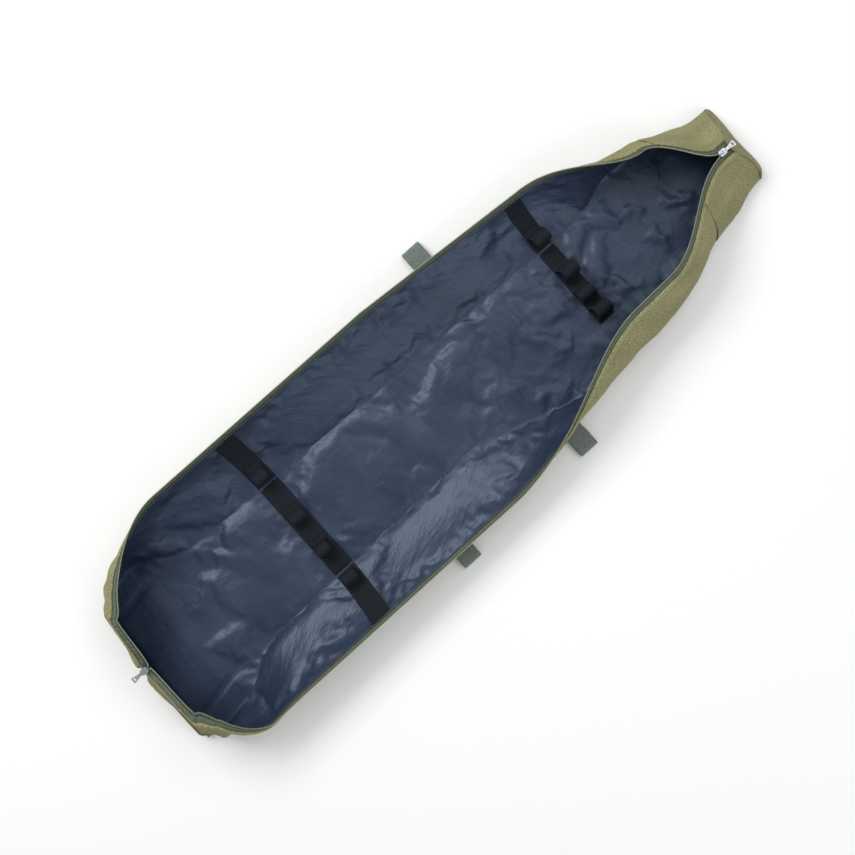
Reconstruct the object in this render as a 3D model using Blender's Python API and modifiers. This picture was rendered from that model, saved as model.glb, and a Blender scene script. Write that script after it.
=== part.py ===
"""Padded rod case, a long tapered bag lying open on its back.

The case is a flat padded base with a side wall hinged along each long edge.
The two walls meet in a zipped ridge over the middle of the base when the case
is shut. Here both sliders stand at the ends of the zip and the walls lie open.
X runs along the case from the wide bottom end to the narrow top end, +Y is
the left side, and +Z is up. Each wall is a loft through sections across X.
"""

import math

import bmesh
import bpy
from mathutils import Matrix, Vector

MODEL = "rod_case"

# Overall sizes, in metres
END_X = 0.700
BASE_HALF_WIDTH = 0.093
BASE_TAPER = 0.028
RIDGE_HEIGHT = 0.105
RIDGE_SLOPE = {"bottom": 0.032, "top": 0.038}

# Layers, as offsets from the middle surface towards the inside of the case
MIDDLE_Z = 0.0042
OUTER_SPAN = (-0.0042, -0.0002)
LINING_SPAN = (0.0007, 0.0017)
TAPE_SPAN = (-0.0006, 0.0003)
TEETH_SPAN = (-0.0012, 0.0010)
WEB_SPAN = (0.0021, 0.0034)
GAP = 0.0003
LINING_TUCK = 0.0026
BASE_TUCK = 0.0045
END_PANEL = 0.004
END_LINING_INSET = 0.0075

# How far the walls fold, in two stages about one hinge line per side
HINGE_Z = 0.0055
LIFT = math.radians(50)
ROLL = math.radians(53)
BOTTOM_LIFT = (-0.6875, -0.667)
BOTTOM_ROLL = {1: (-0.667, -0.470), -1: (-0.667, -0.570)}
TOP_LIFT = {1: (0.641, 0.530), -1: (0.643, 0.430)}
TOP_ROLL = {1: (0.530, 0.345), -1: (0.345, -0.010)}
CAP_SEAM_X = 0.553

# Shape of the sections
ARC_TURN = math.radians(22)
BELLY_TURN = math.radians(20)
MAX_HEADING = math.radians(176)
CORNER_WIDTH = 0.048
CORNER_TUCK = 0.013
BELLY_WIDTH = {1: 0.022, -1: 0.066}
BELLY_START = {1: (0.36, 0.50), -1: (-0.03, 0.22)}
BELLY_END = {1: (0.675, 0.575), -1: (0.69, 0.36)}
BOTTOM_LEAN = 0.24
TOP_LEAN = 0.38
ZIP_HALF_GAP = 0.001
FABRIC_END = 0.0125
TAPE_END = 0.0033
TEETH_START = 0.0030
WALL_CELLS = 7

# Straps across the inside, with a loop for each rod
LOWER_STRAP_X = -0.320
UPPER_STRAP_X = 0.320
LOWER_WEB_WIDTH = 0.040
UPPER_WEB_WIDTH = 0.034
LOOP_WIDTH = 0.028
LOOP_HALF_SPAN = 0.0185
LOOP_HEIGHT = 0.030
LOOP_FOOT = 0.006
LOOP_CELLS = 10
STRAP_THICKNESS = 0.0014
BASE_LOOP_Z = MIDDLE_Z + WEB_SPAN[1] + GAP + STRAP_THICKNESS / 2
LOWER_BASE_LOOPS = (0.023, -0.050)
UPPER_BASE_LOOPS = (0.026, -0.022, -0.062)
WALL_LOOP_REACH = 0.0245

# Carry handles
HANDLE_LEG_X = 0.142
HANDLE_WIDTH = 0.038
HANDLE_THICKNESS = 0.0022
HANDLE_START = {1: (0.015, 0.015), -1: (0.015, 0.073)}
HANDLE_REACH = {1: (0.214, 0.242), -1: (0.242, 0.232)}
HANDLE_GRIP_Y = 0.176
HANDLE_FLOOR_Z = 0.0018
HANDLE_RISE = 0.0110
HANDLE_CORNER = 0.026

# Zip sliders and their pulls
SLIDER_X = {"bottom": -0.6777, "top": 0.6390}
PLATE_LENGTH = 0.014
PLATE_WIDTH = 0.011
PLATE_THICKNESS = 0.0014
PLATE_LIFT = 0.0017
LOWER_PLATE_DROP = 0.0042
LOWER_PLATE_LENGTH = 0.0045
BRIDGE_WIDTH = 0.0012
BAIL_HALF_LENGTH = 0.0042
BAIL_HEIGHT = 0.0046
PULL_LENGTH = 0.024
PULL_NECK = 0.0050
PULL_TIP = 0.0105
PULL_THICKNESS = 0.0014
PULL_SLOT = (0.0034, 0.0058)
PULL_ANGLE = {"bottom": math.radians(6), "top": math.radians(0)}

SMOOTH_ANGLE = math.radians(35)
COLOURS = {
    "olive_fabric": ((0.36, 0.35, 0.18), 0.90, 0.0),
    "lining": ((0.035, 0.045, 0.075), 0.45, 0.0),
    "zip_tape": ((0.10, 0.12, 0.095), 0.85, 0.0),
    "zip_coil": ((0.16, 0.19, 0.13), 0.45, 0.0),
    "black_webbing": ((0.018, 0.020, 0.024), 0.80, 0.0),
    "grey_webbing": ((0.10, 0.12, 0.10), 0.85, 0.0),
    "silver_metal": ((0.70, 0.70, 0.71), 0.28, 1.0),
}


def smooth(t):
    """A step from 0 to 1 with level ends."""
    t = min(max(t, 0.0), 1.0)
    return t * t * (3.0 - 2.0 * t)


def share(x, span):
    """How far x is along a span, as a smooth step."""
    return smooth((x - span[0]) / (span[1] - span[0]))


def base_half(x):
    return BASE_HALF_WIDTH - BASE_TAPER * x


def ridge_height(x):
    end = "bottom" if x < 0 else "top"
    return RIDGE_HEIGHT - RIDGE_SLOPE[end] * abs(x)


def lean(x, z):
    """How far the ends tip inwards at height z."""
    bottom = BOTTOM_LEAN * z * smooth((-0.60 - x) / 0.10)
    top = TOP_LEAN * z * smooth((x - 0.60) / 0.10)
    return bottom - top


def open_angle(side, x):
    """The angle that the wall is folded outwards from its closed place."""
    ridge_x = x + lean(x, ridge_height(x))
    low = x + 0.04 * ridge_height(x) * smooth((-0.60 - x) / 0.10)
    lift = share(low, BOTTOM_LIFT) * share(ridge_x, TOP_LIFT[side])
    roll = share(low, BOTTOM_ROLL[side]) * share(ridge_x, TOP_ROLL[side])
    return LIFT * lift + ROLL * roll


def floor_width(side, x):
    """How much of the wall lies on the floor, at the bottom corners and the slumped top."""
    corner = CORNER_WIDTH * smooth((-0.48 - x) / 0.14) - CORNER_TUCK * smooth((-0.66 - x) / 0.04)
    return corner + BELLY_WIDTH[side] * share(x, BELLY_START[side]) * share(x, BELLY_END[side])


def cut_corners(points):
    """Chaikin's rounding of an open run of points, twice."""
    for _ in range(2):
        rounded = [points[0]]
        for a, b in zip(points, points[1:]):
            rounded += [a.lerp(b, 0.25), a.lerp(b, 0.75)]
        points = rounded + [points[-1]]
    return points


def section(side, x):
    """The wall's middle line at x, from the hinge line to the zip."""
    half = base_half(x)
    hinge = Vector((half, HINGE_Z))
    closed_tip = Vector((ZIP_HALF_GAP, ridge_height(x)))
    turn = Matrix.Rotation(-open_angle(side, x), 2)
    tip = hinge + turn @ (closed_tip - hinge)
    flat = floor_width(side, x)
    edge = Vector((half + flat, MIDDLE_Z))
    chord = tip - edge
    rise = math.atan2(chord.y, chord.x)
    bend = min(ARC_TURN + BELLY_TURN * smooth(flat / CORNER_WIDTH), MAX_HEADING - rise)
    heading = rise - bend
    radius = chord.length / (2 * math.sin(bend))
    points = [Vector((half, MIDDLE_Z)), edge]
    cells = 14
    for n in range(1, cells + 1):
        angle = heading + 2 * bend * n / cells
        step = Vector((math.sin(angle) - math.sin(heading), math.cos(heading) - math.cos(angle)))
        points.append(edge + radius * step)
    return cut_corners(points)


def along(points, distance):
    """The point and the inward normal at a distance along a line of points."""
    for a, b in zip(points, points[1:]):
        run = (b - a).length
        if distance <= run or b is points[-1]:
            break
        distance -= run
    tangent = (b - a).normalized()
    return a + tangent * distance, Vector((-tangent.y, tangent.x))


def length_of(points):
    return sum((b - a).length for a, b in zip(points, points[1:]))


def smooth_normal(points, distance):
    """The normal averaged over a short stretch, so that layers stay parallel."""
    reach = 0.004
    total = length_of(points)
    before = along(points, max(distance - reach, 0.0))[0]
    after = along(points, min(distance + reach, total))[0]
    tangent = (after - before).normalized()
    return Vector((-tangent.y, tangent.x))


def wall_point(side, x, distance, offset):
    """A point of the wall in space. A negative distance counts from the zip."""
    points = section(side, x)
    if distance < 0:
        distance += length_of(points)
    place = along(points, distance)[0] + offset * smooth_normal(points, distance)
    return Vector((x + lean(x, place.y), side * place.x, place.y))


def spaced(start, end, cells):
    return [start + (end - start) * n / cells for n in range(cells + 1)]


def material(slot):
    """The material for a slot, made once."""
    found = bpy.data.materials.get(slot)
    if found:
        return found
    colour, roughness, metallic = COLOURS[slot]
    made = bpy.data.materials.new(slot)
    made.use_nodes = True
    shader = made.node_tree.nodes["Principled BSDF"]
    shader.inputs["Base Color"].default_value = (*colour, 1.0)
    shader.inputs["Roughness"].default_value = roughness
    shader.inputs["Metallic"].default_value = metallic
    made.diffuse_color = (*colour, 1.0)
    return made


def add_object(name, bm, slot):
    """Puts a bmesh in the model's collection as a named object."""
    bmesh.ops.recalc_face_normals(bm, faces=bm.faces)
    mesh = bpy.data.meshes.new(name)
    bm.to_mesh(mesh)
    bm.free()
    mesh.shade_smooth()
    mesh.set_sharp_from_angle(angle=SMOOTH_ANGLE)
    obj = bpy.data.objects.new(name, mesh)
    obj.data.materials.append(material(slot))
    bpy.data.collections[MODEL].objects.link(obj)
    return obj


def loft(name, inner, outer, slot):
    """A closed shell between two grids of points that face each other."""
    bm = bmesh.new()
    grids = []
    for grid in (inner, outer):
        grids.append([[bm.verts.new(p) for p in row] for row in grid])
    near, far = grids
    rows, columns = len(inner), len(inner[0])
    for i in range(rows - 1):
        for j in range(columns - 1):
            for grid in (near, far):
                corner, across = grid[i][j], grid[i + 1][j + 1]
                bm.faces.new((corner, grid[i + 1][j], across))
                bm.faces.new((corner, across, grid[i][j + 1]))
    for i in range(rows - 1):
        for j in (0, columns - 1):
            bm.faces.new((near[i][j], near[i + 1][j], far[i + 1][j], far[i][j]))
    for j in range(columns - 1):
        for i in (0, rows - 1):
            bm.faces.new((near[i][j], near[i][j + 1], far[i][j + 1], far[i][j]))
    add_object(name, bm, slot)


def wall_piece(name, side, stations, distances, span, slot, first=()):
    """A layer of the wall between two offsets. Distances run up the wall, after any first ones."""
    grids = []
    for offset in span:
        grid = []
        for x in stations:
            total = length_of(section(side, x))
            row = [d + total if d < 0 else d for d in distances]
            cells = WALL_CELLS if row[1] - row[0] > 0.02 else 1
            places = [*first, *spaced(*row, cells)]
            grid.append([wall_point(side, x, d, offset) for d in places])
        grids.append(grid)
    loft(name, *grids, slot)


def wall_zones(side):
    """Stations along X for each stretch of a wall: its ends bend, its middle is stiff."""
    start = -END_X + END_PANEL + GAP
    end = END_X - END_PANEL - GAP
    middle_end = TOP_ROLL[side][1]
    middle_start = BOTTOM_ROLL[side][1]
    bottom = spaced(start, BOTTOM_LIFT[1], 6)[:-1] + spaced(BOTTOM_LIFT[1], middle_start - GAP, 5)
    middle = spaced(middle_start, middle_end - GAP, 7 if side > 0 else 5)
    upper = spaced(middle_end, CAP_SEAM_X - GAP, 6 if side > 0 else 9)
    cap = spaced(CAP_SEAM_X, 0.610, 2)[:-1] + spaced(0.610, end, 5)
    return {"bottom": bottom, "middle": middle, "upper": upper, "cap": cap}


def add_walls():
    """Outer fabric, lining, zip tape and zip coil of both side walls."""
    fabric = (LINING_TUCK, -FABRIC_END)
    tape = (-FABRIC_END + GAP, -TAPE_END)
    teeth = (-TEETH_START, -0.00001)
    for side, label in ((1, "left"), (-1, "right")):
        zones = wall_zones(side)
        for zone, stations in zones.items():
            wall_piece(f"{label}_{zone}_outer", side, stations, fabric, OUTER_SPAN, "olive_fabric", [GAP])
        zones["upper"] = zones["upper"][:-1] + zones.pop("cap")
        for zone, stations in zones.items():
            wall_piece(f"{label}_{zone}_lining", side, stations, fabric, LINING_SPAN, "lining")
            wall_piece(f"{label}_{zone}_tape", side, stations, tape, TAPE_SPAN, "zip_tape")
            wall_piece(f"{label}_{zone}_coil", side, stations, teeth, TEETH_SPAN, "zip_coil")


def add_base():
    """The flat base: padded outer fabric below, lining above."""
    end = END_X - END_PANEL - GAP
    stations = (-end, 0.0, end)
    layers = (
        ("base_outer", OUTER_SPAN, GAP / 3, "olive_fabric"),
        ("base_lining", LINING_SPAN, BASE_TUCK, "lining"),
    )
    for name, span, tuck, slot in layers:
        grids = []
        for offset in span:
            z = MIDDLE_Z + offset
            grid = []
            for x in stations:
                half = base_half(x) - tuck
                grid.append([Vector((x + lean(x, z), half * n, z)) for n in (-1, 1)])
            grids.append(grid)
        loft(name, *grids, slot)


def end_outline(x, offset):
    """Half widths and heights up the end of the case, outside its layers by offset."""
    points = section(1, x)
    total = length_of(points)
    flat = floor_width(1, x)
    inset = 2.5 * max(offset, 0.0)
    limit = ridge_height(x) + min(-TEETH_SPAN[0], -offset)
    outline = [(base_half(x) + flat - inset, max(MIDDLE_Z + offset, 0.0))]
    for distance in spaced(flat + 0.004, total - FABRIC_END, WALL_CELLS) + [total - TAPE_END, total]:
        place = along(points, distance)[0]
        reach = offset if distance <= total - FABRIC_END else max(offset, TEETH_SPAN[0])
        place += reach * smooth_normal(points, distance)
        if place.y > limit or distance == total:
            outline.append((max(place.x, 0.0005), limit))
            break
        if place.y > outline[-1][1] + 0.001:
            outline.append((place.x, place.y))
    return outline


def add_end_panels():
    """The two end panels, each an outer plate and a lining inside the walls."""
    columns = 6
    for sign, label in ((-1, "bottom"), (1, "top")):
        outer_x = (sign * END_X, sign * (END_X - END_PANEL))
        lining_face = END_X - END_PANEL - 2 * GAP
        lining_x = (sign * lining_face, sign * (lining_face - 0.001))
        parts = (("outer", outer_x, OUTER_SPAN[0], "olive_fabric"),
                 ("lining", lining_x, END_LINING_INSET, "lining"))
        for layer, places, offset, slot in parts:
            outline = end_outline(sign * (END_X - END_PANEL), offset)
            grids = []
            for x in places:
                grid = []
                for y, z in outline:
                    shares = [2 * n / columns - 1 for n in range(columns + 1)]
                    grid.append([Vector((x + lean(x, z), y * part, z)) for part in shares])
                grids.append(grid)
            loft(f"{label}_end_{layer}", *grids, slot)


def add_webs():
    """Flat webs sewn across the lining under the loops."""
    straps = (("lower", LOWER_STRAP_X, LOWER_WEB_WIDTH), ("upper", UPPER_STRAP_X, UPPER_WEB_WIDTH))
    for label, x, width in straps:
        stations = (x - width / 2, x + width / 2)
        grids = []
        for offset in WEB_SPAN:
            grid = []
            for place in stations:
                half = base_half(place) - 0.004
                grid.append([Vector((place, half * n, MIDDLE_Z + offset)) for n in (-1, 1)])
            grids.append(grid)
        loft(f"{label}_base_web", *grids, "black_webbing")
        for side, name in ((1, "left"), (-1, "right")):
            if label == "lower" or side > 0:
                distances = (0.005, -FABRIC_END - 0.002)
                wall_piece(f"{label}_{name}_web", side, stations, distances, WEB_SPAN, "black_webbing")


def loop_profile():
    """Half-round arch with flat feet, as distance across and height."""
    reach = LOOP_HALF_SPAN - LOOP_FOOT
    profile = [(-LOOP_HALF_SPAN - 0.001, 0.0)]
    for n in range(LOOP_CELLS + 1):
        angle = math.pi * (1 - n / LOOP_CELLS)
        swell = 1.0 + 0.22 * math.sin(angle)
        profile.append((reach * swell * math.cos(angle), LOOP_HEIGHT * math.sin(angle) ** 0.8))
    profile.append((LOOP_HALF_SPAN + 0.001, 0.0))
    return profile


def add_ribbon(name, edges, thickness, slot):
    """A strap: an open strip between two edges, made solid."""
    bm = bmesh.new()
    rows = [[bm.verts.new(p) for p in edge] for edge in edges]
    for a, b, c, d in zip(rows[0], rows[0][1:], rows[1][1:], rows[1]):
        bm.faces.new((a, b, c, d))
    obj = add_object(name, bm, slot)
    solid = obj.modifiers.new("Solidify", "SOLIDIFY")
    solid.thickness = thickness
    solid.offset = 0.0
    solid.use_even_offset = True


def add_loop(name, x, middle, tangent, normal):
    """A loop standing on a surface at middle, given in the plane across X."""
    edges = []
    for sign in (-1, 1):
        edge = []
        for across, up in loop_profile():
            place = middle + tangent * across + normal * up
            edge.append(Vector((x + sign * LOOP_WIDTH / 2, place.x, place.y)))
        edges.append(edge)
    add_ribbon(name, edges, STRAP_THICKNESS, "black_webbing")


def add_loops():
    """Rod loops: some on the base, and the outermost on the walls."""
    rows = (("lower", LOWER_STRAP_X, LOWER_BASE_LOOPS), ("upper", UPPER_STRAP_X, UPPER_BASE_LOOPS))
    for label, x, places in rows:
        for n, y in enumerate(places):
            name = f"{label}_base_loop_{n + 1}"
            add_loop(name, x, Vector((y, BASE_LOOP_Z)), Vector((1, 0)), Vector((0, 1)))
        for side, name in ((1, "left"), (-1, "right")):
            if label == "lower" or side > 0:
                points = section(side, x)
                place = along(points, WALL_LOOP_REACH)[0]
                first = along(points, WALL_LOOP_REACH - LOOP_HALF_SPAN)[0]
                last = along(points, WALL_LOOP_REACH + LOOP_HALF_SPAN)[0]
                tangent = (last - first).normalized()
                normal = Vector((-tangent.y, tangent.x))
                rise = BASE_LOOP_Z - MIDDLE_Z + 0.0016
                middle = place + normal * rise
                add_loop(
                    f"{label}_{name}_loop", x, Vector((side * middle.x, middle.y)),
                    Vector((side * tangent.x, tangent.y)), Vector((side * normal.x, normal.y)),
                )


def leg_profile(x, start, reach):
    """A handle leg from the base's edge out along the floor, then folded back over itself."""
    low, high = HANDLE_FLOOR_Z, HANDLE_FLOOR_Z + HANDLE_RISE
    corners = [
        Vector((base_half(x) + start, low)),
        Vector((reach - 0.040, low)),
        Vector((reach - 0.012, low)),
        Vector((reach, low + 0.002)),
        Vector((reach, high - 0.001)),
        Vector((reach - 0.012, high)),
        Vector((max(HANDLE_GRIP_Y + HANDLE_CORNER, reach - 0.030), high)),
    ]
    points = cut_corners(corners)
    return [points[0]] + points[3:]


def handle_edges(side):
    """The two edges of a handle's webbing, from the leg at -X to the leg at +X."""
    half = HANDLE_WIDTH / 2
    height = HANDLE_FLOOR_Z + HANDLE_RISE
    edges = ([], [])
    for sign, start, reach in zip((-1, 1), HANDLE_START[side], HANDLE_REACH[side]):
        runs = ([], [])
        for place in leg_profile(sign * HANDLE_LEG_X, start, reach):
            for n, edge in enumerate((-half, half)):
                runs[n].append(Vector((sign * (HANDLE_LEG_X + edge), side * place.x, place.y)))
        turns = 6
        centre = Vector((sign * (HANDLE_LEG_X - HANDLE_CORNER), side * (HANDLE_GRIP_Y + HANDLE_CORNER)))
        for step in range(1, turns + 1):
            angle = math.pi / 2 * step / turns
            for n, edge in enumerate((-half, half)):
                radius = HANDLE_CORNER + edge
                x = centre.x + sign * radius * math.cos(angle)
                y = centre.y - side * radius * math.sin(angle)
                runs[n].append(Vector((x, y, height)))
        for n in (0, 1):
            edges[n].extend(runs[n] if sign < 0 else runs[n][::-1])
    return edges


def add_handles():
    """A webbing handle under each wall, with its legs at the base's edge."""
    for side, label in ((1, "left"), (-1, "right")):
        add_ribbon(f"{label}_handle", handle_edges(side), HANDLE_THICKNESS, "grey_webbing")


def box(bm, size, centre, shift=0.0):
    """A box in a bmesh, by its size and centre."""
    made = bmesh.ops.create_cube(bm, size=1.0)["verts"]
    bmesh.ops.scale(bm, vec=size, verts=made)
    bmesh.ops.translate(bm, vec=Vector(centre) + Vector((shift, 0, 0)), verts=made)


def cutter(name, bm):
    """A hidden object that Boolean modifiers use."""
    bmesh.ops.recalc_face_normals(bm, faces=bm.faces)
    mesh = bpy.data.meshes.new(name)
    bm.to_mesh(mesh)
    bm.free()
    obj = bpy.data.objects.new(name, mesh)
    obj.hide_render = True
    obj.display_type = "WIRE"
    bpy.data.collections[f"{MODEL}_cutters"].objects.link(obj)
    return obj


def union(obj, tool):
    joined = obj.modifiers.new("Union", "BOOLEAN")
    joined.operation = "UNION"
    joined.object = tool


def slider_place(end):
    x = SLIDER_X[end]
    return Vector((x, 0.0, ridge_height(x)))


def slope_of(end):
    """The ridge's tilt at this end, about Y, with the slider facing the middle."""
    return math.atan(RIDGE_SLOPE[end]) * (-1 if end == "bottom" else 1)


def add_slider(end):
    """Upper and lower plates joined by a bridge between the coils, with a bail on top."""
    inward = 1 if end == "bottom" else -1
    bm = bmesh.new()
    box(bm, (PLATE_LENGTH, PLATE_WIDTH, PLATE_THICKNESS), (0, 0, PLATE_LIFT + PLATE_THICKNESS / 2))
    corners = [e for e in bm.edges if abs((e.verts[0].co - e.verts[1].co).z) > 0.0005]
    bmesh.ops.bevel(bm, geom=corners, offset=0.003, segments=3, affect="EDGES", profile=0.5)
    slider = add_object(f"{end}_slider", bm, "silver_metal")
    lower = bmesh.new()
    forward = inward * (PLATE_LENGTH - LOWER_PLATE_LENGTH) / 2
    box(lower, (LOWER_PLATE_LENGTH, PLATE_WIDTH, PLATE_THICKNESS),
        (0, 0, -LOWER_PLATE_DROP - PLATE_THICKNESS / 2), forward)
    bridge = bmesh.new()
    height = PLATE_LIFT + LOWER_PLATE_DROP + PLATE_THICKNESS
    box(bridge, (LOWER_PLATE_LENGTH * 0.7, BRIDGE_WIDTH, height),
        (0, 0, (PLATE_LIFT - LOWER_PLATE_DROP) / 2), forward)
    top = PLATE_LIFT + PLATE_THICKNESS
    bail = bmesh.new()
    for side in (-1, 1):
        box(bail, (0.0018, 0.0016, BAIL_HEIGHT),
            (side * BAIL_HALF_LENGTH, 0, top + BAIL_HEIGHT / 2 - 0.0002))
    rail = bmesh.new()
    box(rail, (2 * BAIL_HALF_LENGTH + 0.0018, 0.0016, 0.0014), (0, 0, top + BAIL_HEIGHT))
    tools = (("lower_plate", lower), ("bridge", bridge), ("bail", bail), ("rail", rail))
    for name, shape in tools:
        tool = cutter(f"{end}_{name}", shape)
        tool.parent = slider
        union(slider, tool)
    slider.location = slider_place(end)
    slider.rotation_euler = (0, slope_of(end), 0)


def pull_pivot(end):
    """The point inside the bail that the pull hangs from."""
    outward = -1 if end == "bottom" else 1
    local = Vector((outward * 0.0012, 0, PLATE_LIFT + PLATE_THICKNESS + BAIL_HEIGHT * 0.50))
    return slider_place(end) + Matrix.Rotation(slope_of(end), 3, "Y") @ local


def add_pull(end):
    """A flat tab, widening to its free end, with a ring that passes through the bail."""
    outward = -1 if end == "bottom" else 1
    bm = bmesh.new()
    half = PULL_THICKNESS / 2
    ring_start, ring_end = -0.0012, 0.0075
    hole_start, hole_end = 0.0002, 0.0056
    outline = [
        (ring_start, PULL_NECK / 2), (ring_end, PULL_NECK / 2), (PULL_LENGTH - 0.001, PULL_TIP / 2),
        (PULL_LENGTH, PULL_TIP / 2 - 0.001),
    ]
    ring = outline + [(x, -y) for x, y in reversed(outline)]
    verts = [bm.verts.new((x, y, -half)) for x, y in ring]
    face = bm.faces.new(verts)
    raised = bmesh.ops.extrude_face_region(bm, geom=[face])["geom"]
    raised = [v for v in raised if isinstance(v, bmesh.types.BMVert)]
    bmesh.ops.translate(bm, vec=(0, 0, 2 * half), verts=raised)
    pull = add_object(f"{end}_pull", bm, "silver_metal")
    eye = bmesh.new()
    box(eye, (hole_end - hole_start, PULL_NECK - 0.0020, 0.01), ((hole_start + hole_end) / 2, 0, 0))
    slot = bmesh.new()
    box(slot, (PULL_SLOT[0], PULL_SLOT[1], 0.01), (PULL_LENGTH - 0.0045, 0, 0))
    corners = [e for e in slot.edges if abs((e.verts[0].co - e.verts[1].co).z) > 0.005]
    bmesh.ops.bevel(slot, geom=corners, offset=0.0016, segments=3, affect="EDGES", profile=0.5)
    for name, shape in (("eye", eye), ("slot", slot)):
        tool = cutter(f"{end}_{name}", shape)
        tool.parent = pull
        cut = pull.modifiers.new(name, "BOOLEAN")
        cut.operation = "DIFFERENCE"
        cut.object = tool
    pull.location = pull_pivot(end)
    tilt = Matrix.Rotation(outward * PULL_ANGLE[end], 4, "Y")
    facing = Matrix.Rotation(0 if outward > 0 else math.pi, 4, "Z")
    pull.rotation_euler = (tilt @ facing).to_euler()


def build():
    for obj in list(bpy.data.objects):
        bpy.data.objects.remove(obj, do_unlink=True)
    for name in (MODEL, f"{MODEL}_cutters"):
        bpy.context.scene.collection.children.link(bpy.data.collections.new(name))
    add_base()
    add_end_panels()
    add_walls()
    add_webs()
    add_loops()
    add_handles()
    for end in ("bottom", "top"):
        add_slider(end)
        add_pull(end)


build()
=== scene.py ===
import math
from collections import namedtuple

import bpy
import numpy as np
from mathutils import Matrix, Vector, noise


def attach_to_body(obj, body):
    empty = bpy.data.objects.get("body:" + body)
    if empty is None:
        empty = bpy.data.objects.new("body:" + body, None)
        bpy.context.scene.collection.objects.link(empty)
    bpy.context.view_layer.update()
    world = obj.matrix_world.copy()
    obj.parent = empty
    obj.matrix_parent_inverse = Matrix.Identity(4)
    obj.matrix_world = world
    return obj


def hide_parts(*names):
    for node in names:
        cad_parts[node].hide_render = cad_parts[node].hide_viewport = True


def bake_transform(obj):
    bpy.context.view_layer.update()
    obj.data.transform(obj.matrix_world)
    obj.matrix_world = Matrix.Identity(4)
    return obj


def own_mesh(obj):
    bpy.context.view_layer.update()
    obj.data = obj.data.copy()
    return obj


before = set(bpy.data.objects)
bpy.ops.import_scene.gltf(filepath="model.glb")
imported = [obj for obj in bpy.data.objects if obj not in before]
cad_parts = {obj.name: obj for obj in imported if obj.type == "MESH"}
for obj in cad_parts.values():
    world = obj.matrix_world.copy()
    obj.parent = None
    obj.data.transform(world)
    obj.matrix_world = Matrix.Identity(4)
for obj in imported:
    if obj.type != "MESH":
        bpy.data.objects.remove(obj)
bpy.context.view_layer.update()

# Sizes shared with the CAD part, in metres
END_X = 0.700
BASE_HALF_WIDTH = 0.093
BASE_TAPER = 0.028
RIDGE_HEIGHT = 0.105
RIDGE_SLOPE = {"bottom": 0.032, "top": 0.038}
MIDDLE_Z = 0.0042
OUTER_FACE = -0.0042
OUTER_BACK = -0.0002
LINING_FACE = 0.0016
TAPE_FACE = (-0.0006, 0.0003)
WEB_FACE = (0.0021, 0.0034)
WEB_MIDDLE = (WEB_FACE[0] + WEB_FACE[1]) / 2
WEB_THICKNESS = WEB_FACE[1] - WEB_FACE[0]
END_PANEL = 0.004
HINGE_Z = 0.0055
LIFT = math.radians(50)
ROLL = math.radians(53)
BOTTOM_LIFT = (-0.6875, -0.667)
BOTTOM_ROLL = {1: (-0.667, -0.470), -1: (-0.667, -0.570)}
TOP_LIFT = {1: (0.641, 0.530), -1: (0.643, 0.430)}
TOP_ROLL = {1: (0.530, 0.345), -1: (0.345, -0.010)}
CAP_SEAM_X = 0.553
ARC_TURN = math.radians(22)
BELLY_TURN = math.radians(20)
MAX_HEADING = math.radians(176)
CORNER_WIDTH = 0.048
CORNER_TUCK = 0.013
BELLY_WIDTH = {1: 0.022, -1: 0.066}
BELLY_START = {1: (0.36, 0.50), -1: (-0.03, 0.22)}
BELLY_END = {1: (0.675, 0.575), -1: (0.69, 0.36)}
BOTTOM_LEAN = 0.24
TOP_LEAN = 0.38
LEAN_START = 0.60
LEAN_RUN = 0.10
LOW_LEAN = 0.04
CORNER_START = -0.48
CORNER_RUN = 0.14
TUCK_START = -0.66
TUCK_RUN = 0.04
ZIP_HALF_GAP = 0.001
FABRIC_END = 0.0125
TAPE_END = 0.0033
STRAP_X = {"lower": -0.320, "upper": 0.320}
WEB_WIDTH = {"lower": 0.040, "upper": 0.034}
LOOP_WIDTH = {"lower": 0.028, "upper": 0.032}
LOOP_HALF_SPAN = 0.0185
LOOP_HEIGHT = 0.030
LOOP_FOOT = 0.006
STRAP_THICKNESS = 0.0014
BASE_LOOP_Z = MIDDLE_Z + WEB_FACE[1] + 0.0003 + STRAP_THICKNESS / 2
BASE_LOOPS = {"lower": (0.023, -0.050), "upper": (0.026, -0.022, -0.062)}
WALL_LOOP_REACH = 0.0245
HANDLE_LEG_X = 0.142
HANDLE_WIDTH = 0.038
HANDLE_THICKNESS = 0.0022
HANDLE_START = {1: (0.015, 0.015), -1: (0.015, 0.073)}
HANDLE_REACH = {1: (0.214, 0.242), -1: (0.242, 0.232)}
HANDLE_GRIP_Y = 0.176
HANDLE_FLOOR_Z = 0.0018
HANDLE_RISE = 0.0110
HANDLE_CORNER = 0.026
HANDLE_STEP = 0.006

# The rim of the bottom end folds out over the end panel
FOLD_IN = 0.004
FOLD_OUT = 0.013
FOLD_REACH = -0.520
FOLD_RUN = 0.147
FOLD_DEPTH = 0.095
FOLD_FADE = 0.075

# How finely the cloth is divided
STATION_STEP = 0.0062
WALL_COLUMNS = 26
BASE_COLUMNS = 34
STRAP_CELLS = 10

# The weave on the back of a strap is shifted by this much
BACK_SHIFT = 0.1

SIDES = ((1, "left"), (-1, "right"))
STRAP_SIDES = {"lower": SIDES, "upper": SIDES[:1]}

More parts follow.
